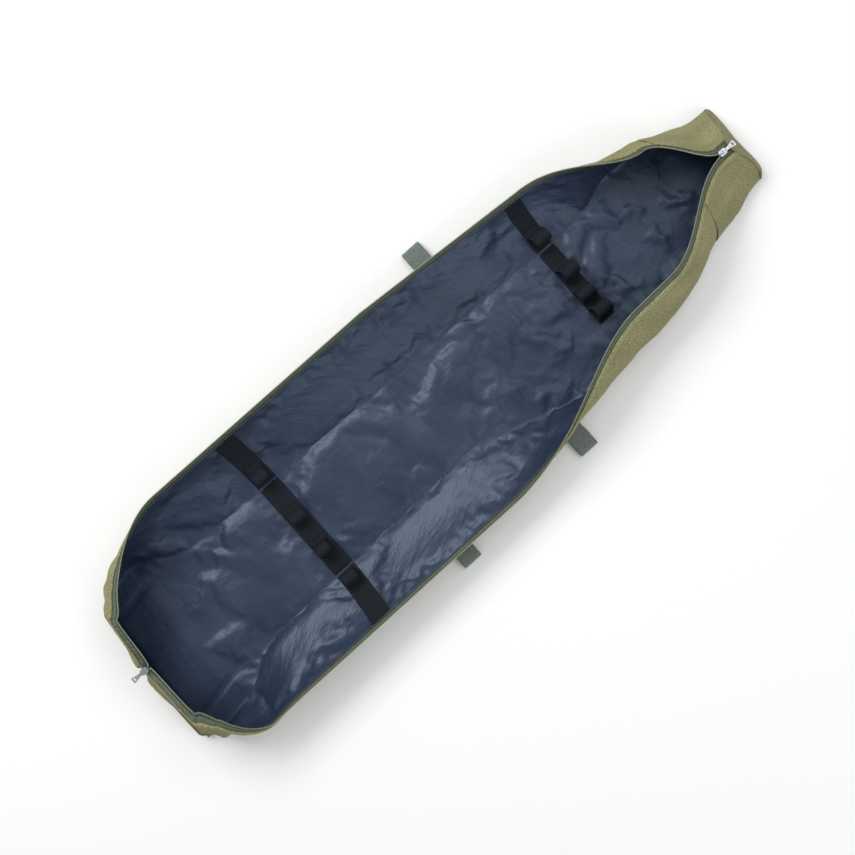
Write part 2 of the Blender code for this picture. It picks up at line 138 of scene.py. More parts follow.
# Wrinkles of the lining
GROWTH = 0.055
SIM_FRAMES = 26
START_RIPPLE = 0.0009
SUNK_SHARE = 0.12
SUNK_LIMIT = -0.0005
FOLD_LIMIT = 0.0085
SEAM_FOLD = 0.16
SEAM_REACH = 0.024
CALM_END = 0.614
CALM_RUN = 0.045
END_CLEARANCE = 0.0046
SLIDE_LIMIT = 0.004
LINING_INSET = 0.0015
HEM_LAP = 0.0015
PIN_MARGIN = 0.003
SEAM_PIN = 0.9
SEAM_PIN_HALF = 0.0035
CLOTH_SETTINGS = {
    "quality": 6, "mass": 0.12, "tension_stiffness": 18.0, "compression_stiffness": 18.0,
    "shear_stiffness": 7.0, "bending_stiffness": 0.12, "air_damping": 2.0, "shrink_min": -GROWTH,
    "vertex_group_mass": "held", "pin_stiffness": 2.0,
}


def smooth(t):
    t = min(max(t, 0.0), 1.0)
    return t * t * (3.0 - 2.0 * t)


def smooth_array(t):
    t = np.clip(t, 0.0, 1.0)
    return t * t * (3.0 - 2.0 * t)


def along(x, span):
    """How far x is along a span, from 0 to 1 within it."""
    return (x - span[0]) / (span[1] - span[0])


def share(x, span):
    return smooth(along(x, span))


def base_half(x):
    return BASE_HALF_WIDTH - BASE_TAPER * x


def ridge_height(x):
    end = "bottom" if x < 0 else "top"
    return RIDGE_HEIGHT - RIDGE_SLOPE[end] * abs(x)


def lean_rate(x):
    """How far a station tips along X for each metre of height."""
    bottom, top = smooth((-LEAN_START - x) / LEAN_RUN), smooth((x - LEAN_START) / LEAN_RUN)
    return BOTTOM_LEAN * bottom - TOP_LEAN * top


def low_x(x):
    """Where the hinge's fold line passes a station, a little above the floor."""
    return x + LOW_LEAN * ridge_height(x) * smooth((-LEAN_START - x) / LEAN_RUN)


def ridge_x(x):
    return x + lean_rate(x) * ridge_height(x)


def open_angle(side, x):
    lift = share(low_x(x), BOTTOM_LIFT) * share(ridge_x(x), TOP_LIFT[side])
    roll = share(low_x(x), BOTTOM_ROLL[side]) * share(ridge_x(x), TOP_ROLL[side])
    return LIFT * lift + ROLL * roll


def floor_width(side, x):
    """How far the wall lies flat on the floor before it rises."""
    corner = CORNER_WIDTH * smooth((CORNER_START - x) / CORNER_RUN)
    corner -= CORNER_TUCK * smooth((TUCK_START - x) / TUCK_RUN)
    return corner + BELLY_WIDTH[side] * share(x, BELLY_START[side]) * share(x, BELLY_END[side])


def cut_corners(points):
    """An outline with its corners rounded by cutting them twice."""
    for _ in range(2):
        rounded = [points[0]]
        for a, b in zip(points, points[1:]):
            rounded += [a.lerp(b, 0.25), a.lerp(b, 0.75)]
        points = rounded + [points[-1]]
    return points


def section(side, x):
    """The wall's middle line at a station, from the hinge line to the zip."""
    half = base_half(x)
    hinge = Vector((half, HINGE_Z))
    closed_tip = Vector((ZIP_HALF_GAP, ridge_height(x)))
    turn = Matrix.Rotation(-open_angle(side, x), 2)
    tip = hinge + turn @ (closed_tip - hinge)
    flat = floor_width(side, x)
    edge = Vector((half + flat, MIDDLE_Z))
    chord = tip - edge
    rise = math.atan2(chord.y, chord.x)
    bend = min(ARC_TURN + BELLY_TURN * smooth(flat / CORNER_WIDTH), MAX_HEADING - rise)
    heading = rise - bend
    radius = chord.length / (2 * math.sin(bend))
    points = [Vector((half, MIDDLE_Z)), edge]
    cells = 14
    for n in range(1, cells + 1):
        angle = heading + 2 * bend * n / cells
        step = Vector((math.sin(angle) - math.sin(heading), math.cos(heading) - math.cos(angle)))
        points.append(edge + radius * step)
    return cut_corners(points)


def path_marks(path):
    """The distance along a path at each of its points."""
    return np.concatenate([[0.0], np.cumsum(np.linalg.norm(np.diff(path, axis=0), axis=1))])


def read_path(at, marks, values):
    """Values in columns, read at distances along a path."""
    return np.stack([np.interp(at, marks, column) for column in values.T], axis=1)


profiles = {}


def profile(side, x):
    """A section as an array, with the distance along it at each point."""
    key = (side, round(x, 6))
    if key not in profiles:
        points = np.array([tuple(p) for p in section(side, x)])
        profiles[key] = (points, path_marks(points))
    return profiles[key]


def wall_length(side, x):
    return profile(side, x)[1][-1]


def roll_over(x, below):
    """How far the rim of the bottom end folds out along X, by the distance below the zip's edge."""
    fold = np.clip(FOLD_IN - below, FOLD_IN - FOLD_OUT, None)
    return smooth((FOLD_REACH - x) / FOLD_RUN) * fold * smooth_array((FOLD_DEPTH - below) / FOLD_FADE)


def wall_row(side, x, distances, offsets):
    """Points of one station at distances from the hinge, offset towards the inside."""
    points, marks = profile(side, x)
    d = np.asarray(distances, float)
    reach = 0.004
    ahead = read_path(np.minimum(d + reach, marks[-1]), marks, points)
    tangent = ahead - read_path(np.maximum(d - reach, 0.0), marks, points)
    tangent /= np.linalg.norm(tangent, axis=1)[:, None]
    normal = np.stack([-tangent[:, 1], tangent[:, 0]], axis=1)
    place = read_path(d, marks, points) + np.asarray(offsets, float).reshape(-1, 1) * normal
    over = roll_over(x, marks[-1] - d)
    return np.stack([x + lean_rate(x) * place[:, 1] + over, side * place[:, 0], place[:, 1]], axis=1)


def hills(points, scale, seed, detail=2):
    """Smooth noise from -1 to 1 at each point."""
    shift = Vector((seed * 7.31, seed * 3.17, seed * 1.93))
    out = []
    for p in points:
        place = Vector(p) * scale + shift
        value, size = 0.0, 1.0
        for _ in range(detail):
            value += size * noise.noise(place)
            place = place * 2.03
            size *= 0.5
        out.append(value)
    return np.array(out)


# Shaping of both ends: where it starts and the run over which it grows
TOP_SHAPE = (0.615, 0.07)
FOOT_SHAPE = (-0.590, 0.09)
NOTCH_DEPTH = 0.014
NOTCH_HALF = 0.026
NOTCH_RISE = 0.060
EAR_ROUND = {1: 0.011, -1: 0.024}
EAR_HALF = 0.082
CHEEKS = {1: ((0.490, 0.060, 0.008), (0.610, 0.040, 0.002)), -1: ((0.620, 0.050, 0.010),)}
CHEEK_FROM_Y = (0.045, 0.03)
CHEEK_BELOW_Z = (0.088, 0.030)
BOTTOM_ROUND = {1: 0.012, -1: 0.010}
BOTTOM_HALF = 0.140
BOTTOM_SHIFT = 0.014
BOTTOM_SHIFT_RUN = 0.06
BOTTOM_SKEW = 0.055


def rounding(points, radii, half):
    """How far corners are drawn in, from the distance to the side at each point."""
    y = points[:, 1]
    radius = np.where(y > 0, radii[1], radii[-1])
    t = np.clip((np.abs(y) - (half - radius)) / radius, 0.0, 1.0)
    return radius * (1.0 - np.sqrt(1.0 - 0.98 * t * t))


def shape_ends(points):
    """Ears and a notch at the top end, and uneven rounded corners at the bottom end."""
    points = np.array(points, float)
    x, y, z = points[:, 0].copy(), points[:, 1].copy(), points[:, 2]
    top = smooth_array((x - TOP_SHAPE[0]) / TOP_SHAPE[1])
    notch = smooth_array(z / NOTCH_RISE) * np.exp(-((y / NOTCH_HALF) ** 2))
    points[:, 0] -= top * (NOTCH_DEPTH * notch + rounding(points, EAR_ROUND, EAR_HALF))
    low = smooth_array((CHEEK_BELOW_Z[0] - z) / CHEEK_BELOW_Z[1])
    for side, swells in CHEEKS.items():
        beside = smooth_array((side * y - CHEEK_FROM_Y[0]) / CHEEK_FROM_Y[1])
        for centre, half, amount in swells:
            points[:, 1] += side * amount * np.exp(-(((x - centre) / half) ** 2)) * beside * low
    foot = smooth_array((FOOT_SHAPE[0] - x) / FOOT_SHAPE[1])
    points[:, 0] += foot * (rounding(points, BOTTOM_ROUND, BOTTOM_HALF) + BOTTOM_SKEW * y)
    points[:, 1] -= foot * BOTTOM_SHIFT * smooth_array(np.abs(y) / BOTTOM_SHIFT_RUN)
    return points


# Materials

class Nodes:
    """Adds shader nodes to one material and links them."""

    def __init__(self, name):
        self.material = bpy.data.materials.new(name)
        self.material.use_nodes = True
        self.tree = self.material.node_tree
        self.shader = self.tree.nodes["Principled BSDF"]

    def add(self, kind, inputs=None, **settings):
        node = self.tree.nodes.new(kind)
        for key, value in settings.items():
            setattr(node, key, value)
        for key, value in (inputs or {}).items():
            if isinstance(value, bpy.types.NodeSocket):
                self.tree.links.new(value, node.inputs[key])
            else:
                node.inputs[key].default_value = value
        return node

    def cloth(self):
        """The place on the cloth, in metres along and across it."""
        return self.add("ShaderNodeAttribute", attribute_name="weave").outputs["Vector"]

    def scaled(self, vector, scale):
        return self.add("ShaderNodeMapping", {"Vector": vector, "Scale": scale}).outputs["Vector"]

    def noise(self, vector, scale, detail, rough=0.55):
        inputs = {"Vector": vector, "Scale": scale, "Detail": detail, "Roughness": rough}
        return self.add("ShaderNodeTexNoise", inputs).outputs["Fac"]

    def math(self, operation, a, b=0.0):
        return self.add("ShaderNodeMath", {0: a, 1: b}, operation=operation).outputs[0]

    def ramp(self, factor, stops):
        node = self.add("ShaderNodeValToRGB", {"Fac": factor})
        band = node.color_ramp
        while len(band.elements) < len(stops):
            band.elements.new(0.5)
        for element, (place, colour) in zip(band.elements, stops):
            element.position = place
            element.color = (*colour, 1.0)
        return node.outputs["Color"]

    def bump(self, height, strength, distance, normal=None):
        inputs = {"Height": height, "Strength": strength, "Distance": distance}
        if normal is not None:
            inputs["Normal"] = normal
        return self.add("ShaderNodeBump", inputs).outputs["Normal"]

    def weave(self, vector, pitch):
        """Over-and-under threads, as a height from 0 to 1."""
        split = self.add("ShaderNodeSeparateXYZ", {"Vector": vector})
        turns = 2 * math.pi / pitch
        a = self.math("SINE", self.math("MULTIPLY", split.outputs["X"], turns))
        b = self.math("SINE", self.math("MULTIPLY", split.outputs["Y"], turns))
        return self.math("MULTIPLY_ADD", self.math("MULTIPLY", a, b), 0.5)

    def finish(self, **inputs):
        """The material, with the shader's inputs set to values or linked to sockets."""
        for key, value in inputs.items():
            slot = self.shader.inputs[key.replace("_", " ")]
            if isinstance(value, bpy.types.NodeSocket):
                self.tree.links.new(value, slot)
            else:
                slot.default_value = value
        return self.material


def olive_fabric():
    """Heathered khaki cloth: pale and dark threads in short streaks both ways."""
    n = Nodes("olive_heather")
    cloth = n.cloth()
    warp = n.noise(n.scaled(cloth, (260.0, 1100.0, 1.0)), 1.0, 2.0)
    weft = n.noise(n.scaled(cloth, (1100.0, 260.0, 1.0)), 1.0, 2.0)
    slub = n.noise(cloth, 420.0, 3.0, 0.7)
    patch = n.noise(cloth, 14.0, 2.0)
    mixed = n.math("ADD", n.math("MULTIPLY", warp, 0.36), n.math("MULTIPLY", weft, 0.36))
    mixed = n.math("ADD", mixed, n.math("MULTIPLY", slub, 0.20))
    mixed = n.math("ADD", mixed, n.math("MULTIPLY", patch, 0.10))
    colour = n.ramp(mixed, (
        (0.36, (0.082, 0.082, 0.040)),
        (0.46, (0.170, 0.165, 0.080)),
        (0.54, (0.290, 0.276, 0.144)),
        (0.66, (0.490, 0.465, 0.270)),
    ))
    fine = n.bump(n.weave(cloth, 0.0011), 0.45, 0.00025)
    normal = n.bump(mixed, 0.55, 0.0006, fine)
    return n.finish(Base_Color=colour, Roughness=0.95, Normal=normal, Specular_IOR_Level=0.15)


def lining_cloth():
    """Thin navy nylon with a satin gloss and fine creases."""
    n = Nodes("navy_nylon")
    cloth = n.cloth()
    crumple = n.noise(n.scaled(cloth, (1.0, 0.6, 1.0)), 34.0, 4.0, 0.6)
    crease = n.noise(n.scaled(cloth, (0.5, 1.6, 1.0)), 85.0, 3.0, 0.5)
    colour = n.ramp(n.noise(cloth, 9.0, 2.0), (
        (0.30, (0.014, 0.023, 0.046)),
        (0.70, (0.028, 0.040, 0.073)),
    ))
    fine = n.bump(n.weave(cloth, 0.0007), 0.20, 0.00012)
    folds = n.bump(crease, 0.30, 0.0016, fine)
    normal = n.bump(crumple, 0.50, 0.0040, folds)
    return n.finish(Base_Color=colour, Roughness=0.38, Normal=normal, Specular_IOR_Level=0.46,
                    Specular_Tint=(0.74, 0.86, 1.0, 1.0))


def ribbed(name, dark, light, rib_pitch, pick_pitch, gloss=0.4, groove=None):
    """Woven tape or webbing: ribs along it and picks across. A groove is painted shade: a dark line along
    it where shade falls between parts.
    """
    n = Nodes(name)
    cloth = n.cloth()
    split = n.add("ShaderNodeSeparateXYZ", {"Vector": cloth})
    rib = n.math("SINE", n.math("MULTIPLY", split.outputs["Y"], 2 * math.pi / rib_pitch))
    pick = n.math("SINE", n.math("MULTIPLY", split.outputs["X"], 2 * math.pi / pick_pitch))
    height = n.math("ADD", n.math("MULTIPLY", rib, 0.5), n.math("MULTIPLY", pick, 0.5))
    shade = n.math("ADD", n.math("MULTIPLY", height, 0.22), n.noise(cloth, 260.0, 3.0, 0.6))
    stops = ((0.25, dark), (0.75, light))
    # Painted shade: the colour is darkened in a line round the groove, down to a near-black stop.
    if groove:
        centre, half = groove
        away = n.math("ABSOLUTE", n.math("SUBTRACT", split.outputs["Y"], centre))
        shade = n.math("MULTIPLY", shade, n.math("MINIMUM", n.math("DIVIDE", away, half), 1.0))
        stops = ((0.05, tuple(0.15 * c for c in dark)), *stops)
    colour = n.ramp(shade, stops)
    normal = n.bump(height, 0.6, 0.0004)
    return n.finish(Base_Color=colour, Roughness=0.82, Normal=normal, Specular_IOR_Level=gloss)


def metal():
    """Bright plated metal with faint handling marks."""
    n = Nodes("plated_metal")
    place = n.add("ShaderNodeTexCoord").outputs["Object"]
    marks = n.noise(place, 900.0, 4.0, 0.6)
    rough = n.add("ShaderNodeMapRange", {"Value": marks, "To Min": 0.24, "To Max": 0.42})
    tone = n.ramp(n.noise(place, 120.0, 2.0), ((0.3, (0.40, 0.40, 0.42)), (0.7, (0.56, 0.56, 0.57))))
    return n.finish(Base_Color=tone, Roughness=rough.outputs["Result"], Metallic=1.0,
                    Normal=n.bump(marks, 0.1, 0.0002))


def plain(name, colour, roughness):
    """Moulded or spun plastic with a little variation."""
    n = Nodes(name)
    tone = 0.25
    place = n.add("ShaderNodeTexCoord").outputs["Object"]
    value = n.noise(place, 500.0, 3.0, 0.6)
    dark = tuple(c * (1.0 - tone) for c in colour)
    light = tuple(min(1.0, c * (1.0 + tone)) for c in colour)
    return n.finish(Base_Color=n.ramp(value, ((0.3, dark), (0.7, light))), Roughness=roughness,
                    Normal=n.bump(value, 0.15, 0.0003))


MATERIALS = {
    "olive": olive_fabric(),
    "lining": lining_cloth(),
    # The tape's groove is painted shade: a dark line next to the teeth, where shade falls between teeth
    # and tape.
    "tape": ribbed("zip_tape_knit", (0.060, 0.075, 0.052), (0.145, 0.172, 0.124), 0.0022, 0.0013,
                   groove=(0.0038, 0.0013)),
    "coil": plain("zip_coil_nylon", (0.330, 0.380, 0.235), 0.42),
    "black": ribbed("black_elastic", (0.004, 0.006, 0.009), (0.015, 0.019, 0.026), 0.0013, 0.0021, 0.18),
    "grey": ribbed("grey_webbing_weave", (0.080, 0.098, 0.088), (0.215, 0.250, 0.232), 0.0015, 0.0024),
    "thread": plain("olive_thread", (0.400, 0.385, 0.200), 0.60),
    "tape_thread": plain("tape_thread", (0.230, 0.270, 0.190), 0.60),
    "black_thread": plain("black_thread", (0.030, 0.032, 0.036), 0.55),
    "piping": ribbed("olive_piping", (0.100, 0.099, 0.052), (0.300, 0.285, 0.155), 0.0012, 0.0012),
    # Painted shade: the near-black colour of the tubes in the cap seams.
    "seam": plain("seam_shadow", (0.045, 0.046, 0.024), 0.90),
    "metal": metal(),
}


# Building meshes

def make_object(name, points, faces, look, cloth=None, normals=None):
    """A mesh object with its material, its place on the cloth and its shading."""
    mesh = bpy.data.meshes.new(name)
    mesh.from_pydata(points.reshape(-1, 3).tolist(), [], faces)
    mesh.validate()
    mesh.shade_smooth()
    if cloth is not None:
        layer = mesh.attributes.new("weave", "FLOAT_VECTOR", "POINT")
        layer.data.foreach_set("vector", np.asarray(cloth, np.float32).ravel())
    if normals is not None:
        mesh.normals_split_custom_set_from_vertices(normals.reshape(-1, 3).tolist())
    mesh.materials.append(MATERIALS[look])
    obj = bpy.data.objects.new(name, mesh)
    bpy.context.scene.collection.objects.link(obj)
    return obj


def flipped(faces):
    return [face[::-1] for face in faces]


def grid_faces(rows, columns, closed=False):
    """Quads between neighbouring rows. A closed grid joins its last column to its first."""
    span = columns if closed else columns - 1
    i, j = np.meshgrid(np.arange(rows - 1), np.arange(span), indexing="ij")
    k = (j + 1) % columns
    this, after = i * columns, (i + 1) * columns
    return np.stack([this + j, this + k, after + k, after + j], axis=-1).reshape(-1, 4).tolist()


def capped_faces(rows, columns):
    """The faces of a closed grid, with both ends covered."""
    first = list(range(columns))
    last = list(range((rows - 1) * columns, rows * columns))
    return grid_faces(rows, columns, closed=True) + [first[::-1], last]


def mesh_normals(points, faces):
    """Smooth normals at the points of a mesh of quads."""
    faces = np.array(faces)
    a, b = points[faces[:, 2]] - points[faces[:, 0]], points[faces[:, 3]] - points[faces[:, 1]]
    across = np.cross(a, b)
    total = np.zeros_like(points)
    for n in range(4):
        np.add.at(total, faces[:, n], across)
    return total / np.maximum(np.linalg.norm(total, axis=1), 1e-12)[:, None]


def strap(centres, sides, thickness):
    """Points, faces and cloth places of a closed strap with rounded edges."""
    tangent = np.gradient(centres, axis=0)
    normal = np.cross(tangent, sides)
    normal /= np.linalg.norm(normal, axis=1)[:, None]
    width = np.linalg.norm(sides, axis=1).mean()
    half = thickness / 2
    across = np.linspace(-1.0, 1.0, STRAP_CELLS + 1) * (1.0 - half / width)
    ring = [(a, half) for a in across] + [(1.0, half * 0.3), (1.0, -half * 0.3)]
    ring += [(a, -half) for a in across[::-1]] + [(-1.0, -half * 0.3), (-1.0, half * 0.3)]
    ring = np.array(ring)
    points = centres[:, None] + ring[None, :, :1] * sides[:, None] + ring[None, :, 1:] * normal[:, None]
    place = np.zeros_like(points)
    place[..., 0] = path_marks(centres)[:, None]
    place[..., 1] = ring[None, :, 0] * width + np.where(ring[:, 1] < 0, BACK_SHIFT, 0.0)[None, :]
    return points, capped_faces(*points.shape[:2]), place


def tube(path, radius, sides=6):
    """Points and faces of a capped tube along a path."""
    tangent = np.gradient(path, axis=0)
    tangent /= np.maximum(np.linalg.norm(tangent, axis=1), 1e-12)[:, None]
    up = np.array([0.31, 0.17, 0.93])
    a = np.cross(tangent, up)
    a /= np.maximum(np.linalg.norm(a, axis=1), 1e-12)[:, None]
    b = np.cross(tangent, a)
    turns = 2 * math.pi * np.arange(sides) / sides
    ring = np.cos(turns)[None, :, None] * a[:, None] + np.sin(turns)[None, :, None] * b[:, None]
    return (path[:, None] + radius * ring).reshape(-1, 3), capped_faces(len(path), sides)


def joined(parts):
    """Several sets of points and faces as one."""
    points, faces, count = [], [], 0
    for part_points, part_faces in parts:
        points.append(part_points)
        faces += [[i + count for i in face] for face in part_faces]
        count += len(part_points)
    return np.concatenate(points), faces


def resampled(path, step):
    """A path's points at even steps."""
    marks = path_marks(path)
    count = max(2, int(round(marks[-1] / step)) + 1)
    return read_path(np.linspace(0.0, marks[-1], count), marks, path)


STITCH_SHAPE = ((-0.5, 0.0), (-0.42, 0.8), (0.0, 1.0), (0.42, 0.8), (0.5, 0.0))
STITCH_SIDES = 5
FINE_STITCH = {"pitch": 0.0030, "length": 0.0022, "radius": 0.00026}


def stitch_parts(path, lift, pitch=0.0042, length=0.0030, radius=0.00032):
    """One short rounded thread for each stitch along a path lifted off the cloth."""
    spots = resampled(path, pitch)
    lift = np.broadcast_to(lift, path.shape)
    counts = np.arange(len(lift))
    lifts = read_path(np.linspace(0, counts[-1], len(spots)), counts, lift)
    parts = []
    for a, b, up in zip(spots, spots[1:], lifts):
        size = np.linalg.norm(b - a)
        if size < 1e-6:
            continue
        ahead = (b - a) / size
        up = up / max(np.linalg.norm(up), 1e-9)
        beside = np.cross(ahead, up)
        points = []
        for along_it, swell in STITCH_SHAPE:
            sink = radius * 1.2 * (1.0 - swell)
            centre = (a + b) / 2 + ahead * along_it * length + up * (radius * 0.5 - sink)
            for turn in range(STITCH_SIDES):
                angle = 2 * math.pi * turn / STITCH_SIDES
                spread = math.cos(angle) * beside + math.sin(angle) * up
                points.append(centre + spread * radius * max(swell, 0.12))
        parts.append((np.array(points), capped_faces(len(STITCH_SHAPE), STITCH_SIDES)))
    return parts


# Stations along X, with a row on every border between stretches
FABRIC_X = END_X - END_PANEL - 0.0003
ROLL_ENDS = {x for spans in (BOTTOM_ROLL, TOP_ROLL) for span in spans.values() for x in span}
LIFT_ENDS = {span[1] for span in TOP_LIFT.values()}
BORDERS = sorted({-FABRIC_X, FABRIC_X} | ROLL_ENDS | LIFT_ENDS)
SEAM_ROWS = (-0.0040, -0.0016, -0.0006, 0.0006, 0.0016, 0.0040)
SEAM_CLEAR = 0.0055


def make_stations():
    """Even rows between the borders, with closer ones at the seam of the end caps."""
    stations = [BORDERS[0]]
    for a, b in zip(BORDERS, BORDERS[1:]):
        cells = max(2, int(math.ceil((b - a) / STATION_STEP)))
        stations += list(np.linspace(a, b, cells + 1)[1:])
    away = [x for x in stations if abs(x - CAP_SEAM_X) > SEAM_CLEAR]
    return np.array(sorted(away + [CAP_SEAM_X + row for row in SEAM_ROWS]))


STATIONS = make_stations()
Zone = namedtuple("Zone", "name start end bodies weight")


def zones(side, label):
    """Each stretch of a wall: its X range, and the bodies it rides on or bends between."""
    lift, wall = f"{label}_lift", f"{label}_wall"
    foot_end, middle_start = BOTTOM_ROLL[side]
    high_end, middle_end = TOP_ROLL[side]
    head_start = TOP_LIFT[side][1]
    found = [
        Zone("foot", BORDERS[0], foot_end, ("base", lift), lambda x: along(low_x(x), BOTTOM_LIFT)),
        Zone("low", foot_end, middle_start, (lift, wall), lambda x: along(low_x(x), BOTTOM_ROLL[side])),
        Zone("middle", middle_start, middle_end, (wall,), None),
        Zone("high", middle_end, high_end, (wall, lift), lambda x: 1 - along(ridge_x(x), TOP_ROLL[side])),
    ]
    if high_end < head_start:
        found.append(Zone("shoulder", high_end, head_start, (lift,), None))
    found.append(Zone("head", head_start, FABRIC_X, (lift, "base"),
                      lambda x: 1 - along(ridge_x(x), TOP_LIFT[side])))
    return found


def rows_of(zone):
    return np.nonzero((STATIONS > zone.start - 1e-6) & (STATIONS < zone.end + 1e-6))[0]


def bend_line(side, zone):
    """The start and end points whose straight blend comes closest to each station's own share."""
    points, values = [], []
    for x in np.linspace(zone.start, zone.end, 24):
        t = zone.weight(x)
        if -0.15 <= t <= 1.15:
            row = wall_row(side, x, np.linspace(0.01, wall_length(side, x) - 0.001, 9), 0.0)
            points += list(shape_ends(row))
            values += [t] * len(row)
    points, values = np.array(points), np.array(values)
    table = np.concatenate([points, np.ones((len(points), 1))], axis=1)
    *slope, c = np.linalg.lstsq(table, values, rcond=None)[0]
    slope = np.array(slope)
    size = slope @ slope
    start = -c * slope / size
    return tuple(start), tuple(start + slope / size)


bend_lines = {}


def attach(obj, side, zone):
    """Rides a finished piece on the body of its stretch; for a stretch between two bodies it works out
    the bend line and bakes the piece's transform.
    """
    if zone.weight is None:
        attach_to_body(obj, zone.bodies[0])
        return
    key = (side, zone.name)
    if key not in bend_lines:
        bend_lines[key] = bend_line(side, zone)
    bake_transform(obj)


def stand_for(label, zone, layer):
    """Hides the CAD nodes that this piece stands for."""
    part = {"foot": "bottom", "low": "bottom", "middle": "middle"}.get(zone.name, "upper")
    nodes = [f"{label}_{part}_{layer}"]
    if zone.name == "head" and layer == "outer":
        nodes.append(f"{label}_cap_outer")
    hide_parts(*nodes)


# Outer walls

HEM_SWELL = 0.0016
STITCH_GROOVE = 0.0009
CAP_LAP = 0.0016
CAP_GROOVE = 0.0022
CAP_GROOVE_HALF = 0.0012
RIGHT_SHIFT = 0.4
OUTER_COLUMNS = 38
HEM_TURNS = (-55, -20, 20, 55)
OUTER_COUNT = 2 * OUTER_COLUMNS + len(HEM_TURNS)
FLOOR_GAP = 0.0003
DENT = {"plain": 0.0011, "slumped": 0.0016, "end": 0.0014}
SLUMP_SHARE = {1: 0.6, -1: 1.0}
FOLD_SHARE = 0.55
DENT_SCALE = 11.0
SIDE_FOLD_SCALE = 24.0
SLANT = np.array([[1.0, 0.35, 0.0], [0.0, 0.5, 0.0], [0.6, 0.0, 0.8]])
END_START = 0.60
END_RUN = 0.06
FOOT_CALM = 0.08
HEM_CALM = 0.25


def cloth_row(x, across):
    """Places on the cloth across one station."""
    return np.stack([np.full(len(across), x), across, 0 * across], axis=1)


def outer_loop(side, x):
    """One station's closed outline round the padded wall, with its place on the cloth."""
    total = wall_length(side, x)
    edge = total - FABRIC_END
    face = np.linspace(0.0003, edge, OUTER_COLUMNS)
    swell = HEM_SWELL * np.exp(-(((face - edge + 0.0055) / 0.0050) ** 2))
    groove = STITCH_GROOVE * np.exp(-(((face - edge + 0.0100) / 0.0013) ** 2))
    past = x - CAP_SEAM_X
    lap = CAP_LAP * smooth((past + 0.0006) / 0.0012) * smooth((0.045 - past) / 0.040)
    seam = CAP_GROOVE * math.exp(-(((past + 0.0008) / CAP_GROOVE_HALF) ** 2)) - lap
    offsets = OUTER_FACE - swell + groove + seam
    middle = (OUTER_FACE + OUTER_BACK) / 2
    radius = (OUTER_BACK - OUTER_FACE) / 2
    turns = np.radians(HEM_TURNS)
    hem_d = edge + radius * 0.9 * np.cos(turns) - 0.0004
    hem_o = middle + radius * np.sin(turns)
    distances = np.concatenate([face, hem_d, face[::-1]])
    offsets = np.concatenate([offsets, hem_o, np.full(len(face), OUTER_BACK)])
    return wall_row(side, x, distances, offsets), cloth_row(x, distances + RIGHT_SHIFT * (side < 0))


def along_cloth(grid, places):
    """Places on the cloth, measured along it, for points in rows and columns."""
    runs = np.linalg.norm(np.diff(grid, axis=0), axis=2)
    out = np.array(places, float)
    out[1:, :, 0] = np.cumsum(runs, axis=0)
    out[0, :, 0] = 0.0
    return out


def dented(flat, normals, side):
    """The padded wall's points, pushed in and out as broad dents and slanted folds."""
    count, columns = len(STATIONS), OUTER_COUNT
    outside = np.zeros((count, columns))
    outside[:, 1:OUTER_COLUMNS] = 1.0
    rise = np.clip(flat[:, 2].reshape(count, columns) / 0.02, 0.0, 1.0)
    broad = hills(flat, DENT_SCALE, 1 + (side > 0)).reshape(count, columns)
    folds = hills(flat @ SLANT, SIDE_FOLD_SCALE, 5 + (side > 0)).reshape(count, columns)
    slump = smooth_array((STATIONS - 0.05) / 0.25)[:, None] * SLUMP_SHARE[side]
    ends = smooth_array((np.abs(STATIONS) - END_START) / END_RUN)[:, None]
    calm = smooth_array((STATIONS + END_START) / END_RUN)[:, None]
    amount = DENT["plain"] + DENT["slumped"] * slump + DENT["end"] * ends
    amount = amount * (FOOT_CALM + (1.0 - FOOT_CALM) * calm)
    dents = outside * rise * amount * (broad + FOLD_SHARE * folds)
    dents[:, OUTER_COLUMNS - 3: OUTER_COLUMNS + 4] *= HEM_CALM
    return flat + normals * dents.reshape(-1, 1)


def wall_faces(rows, side):
    """The faces round the padded wall, looking outwards."""
    faces = grid_faces(rows, OUTER_COUNT, closed=True)
    return flipped(faces) if side < 0 else faces


def outer_wall(side, label):
    """The padded wall in its stretches, with soft dents and folds."""
    rows = [outer_loop(side, x) for x in STATIONS]
    points = np.array([row[0] for row in rows])
    places = along_cloth(points, [row[1] for row in rows])
    faces = wall_faces(len(rows), side)
    flat = points.reshape(-1, 3)
    moved = dented(flat, mesh_normals(flat, faces), side)
    moved[:, 2] = np.maximum(moved[:, 2], FLOOR_GAP)
    moved = shape_ends(moved)
    normals = mesh_normals(moved, faces).reshape(points.shape)
    grid = moved.reshape(points.shape)
    for zone in zones(side, label):
        pick = rows_of(zone)
        part_faces = wall_faces(len(pick), side) + end_caps(len(pick), side)
        obj = make_object(f"{label}_{zone.name}_shell", grid[pick], part_faces, "olive",
                          places[pick], normals[pick])
        attach(obj, side, zone)
        stand_for(label, zone, "outer")


def end_caps(rows, side):
    """Closes both ends of a stretch with strips between its outside and its inside."""
    caps = []
    columns, face = OUTER_COUNT, OUTER_COLUMNS
    for first, forward in ((0, True), ((rows - 1) * columns, False)):
        strips = [(c, c + 1, columns - 2 - c, columns - 1 - c) for c in range(face - 1)]
        strips.append(tuple(range(face - 1, columns - face + 1)))
        for strip in strips:
            ring = [first + c for c in strip]
            caps.append(ring if forward == (side < 0) else ring[::-1])
    return caps


# Lining

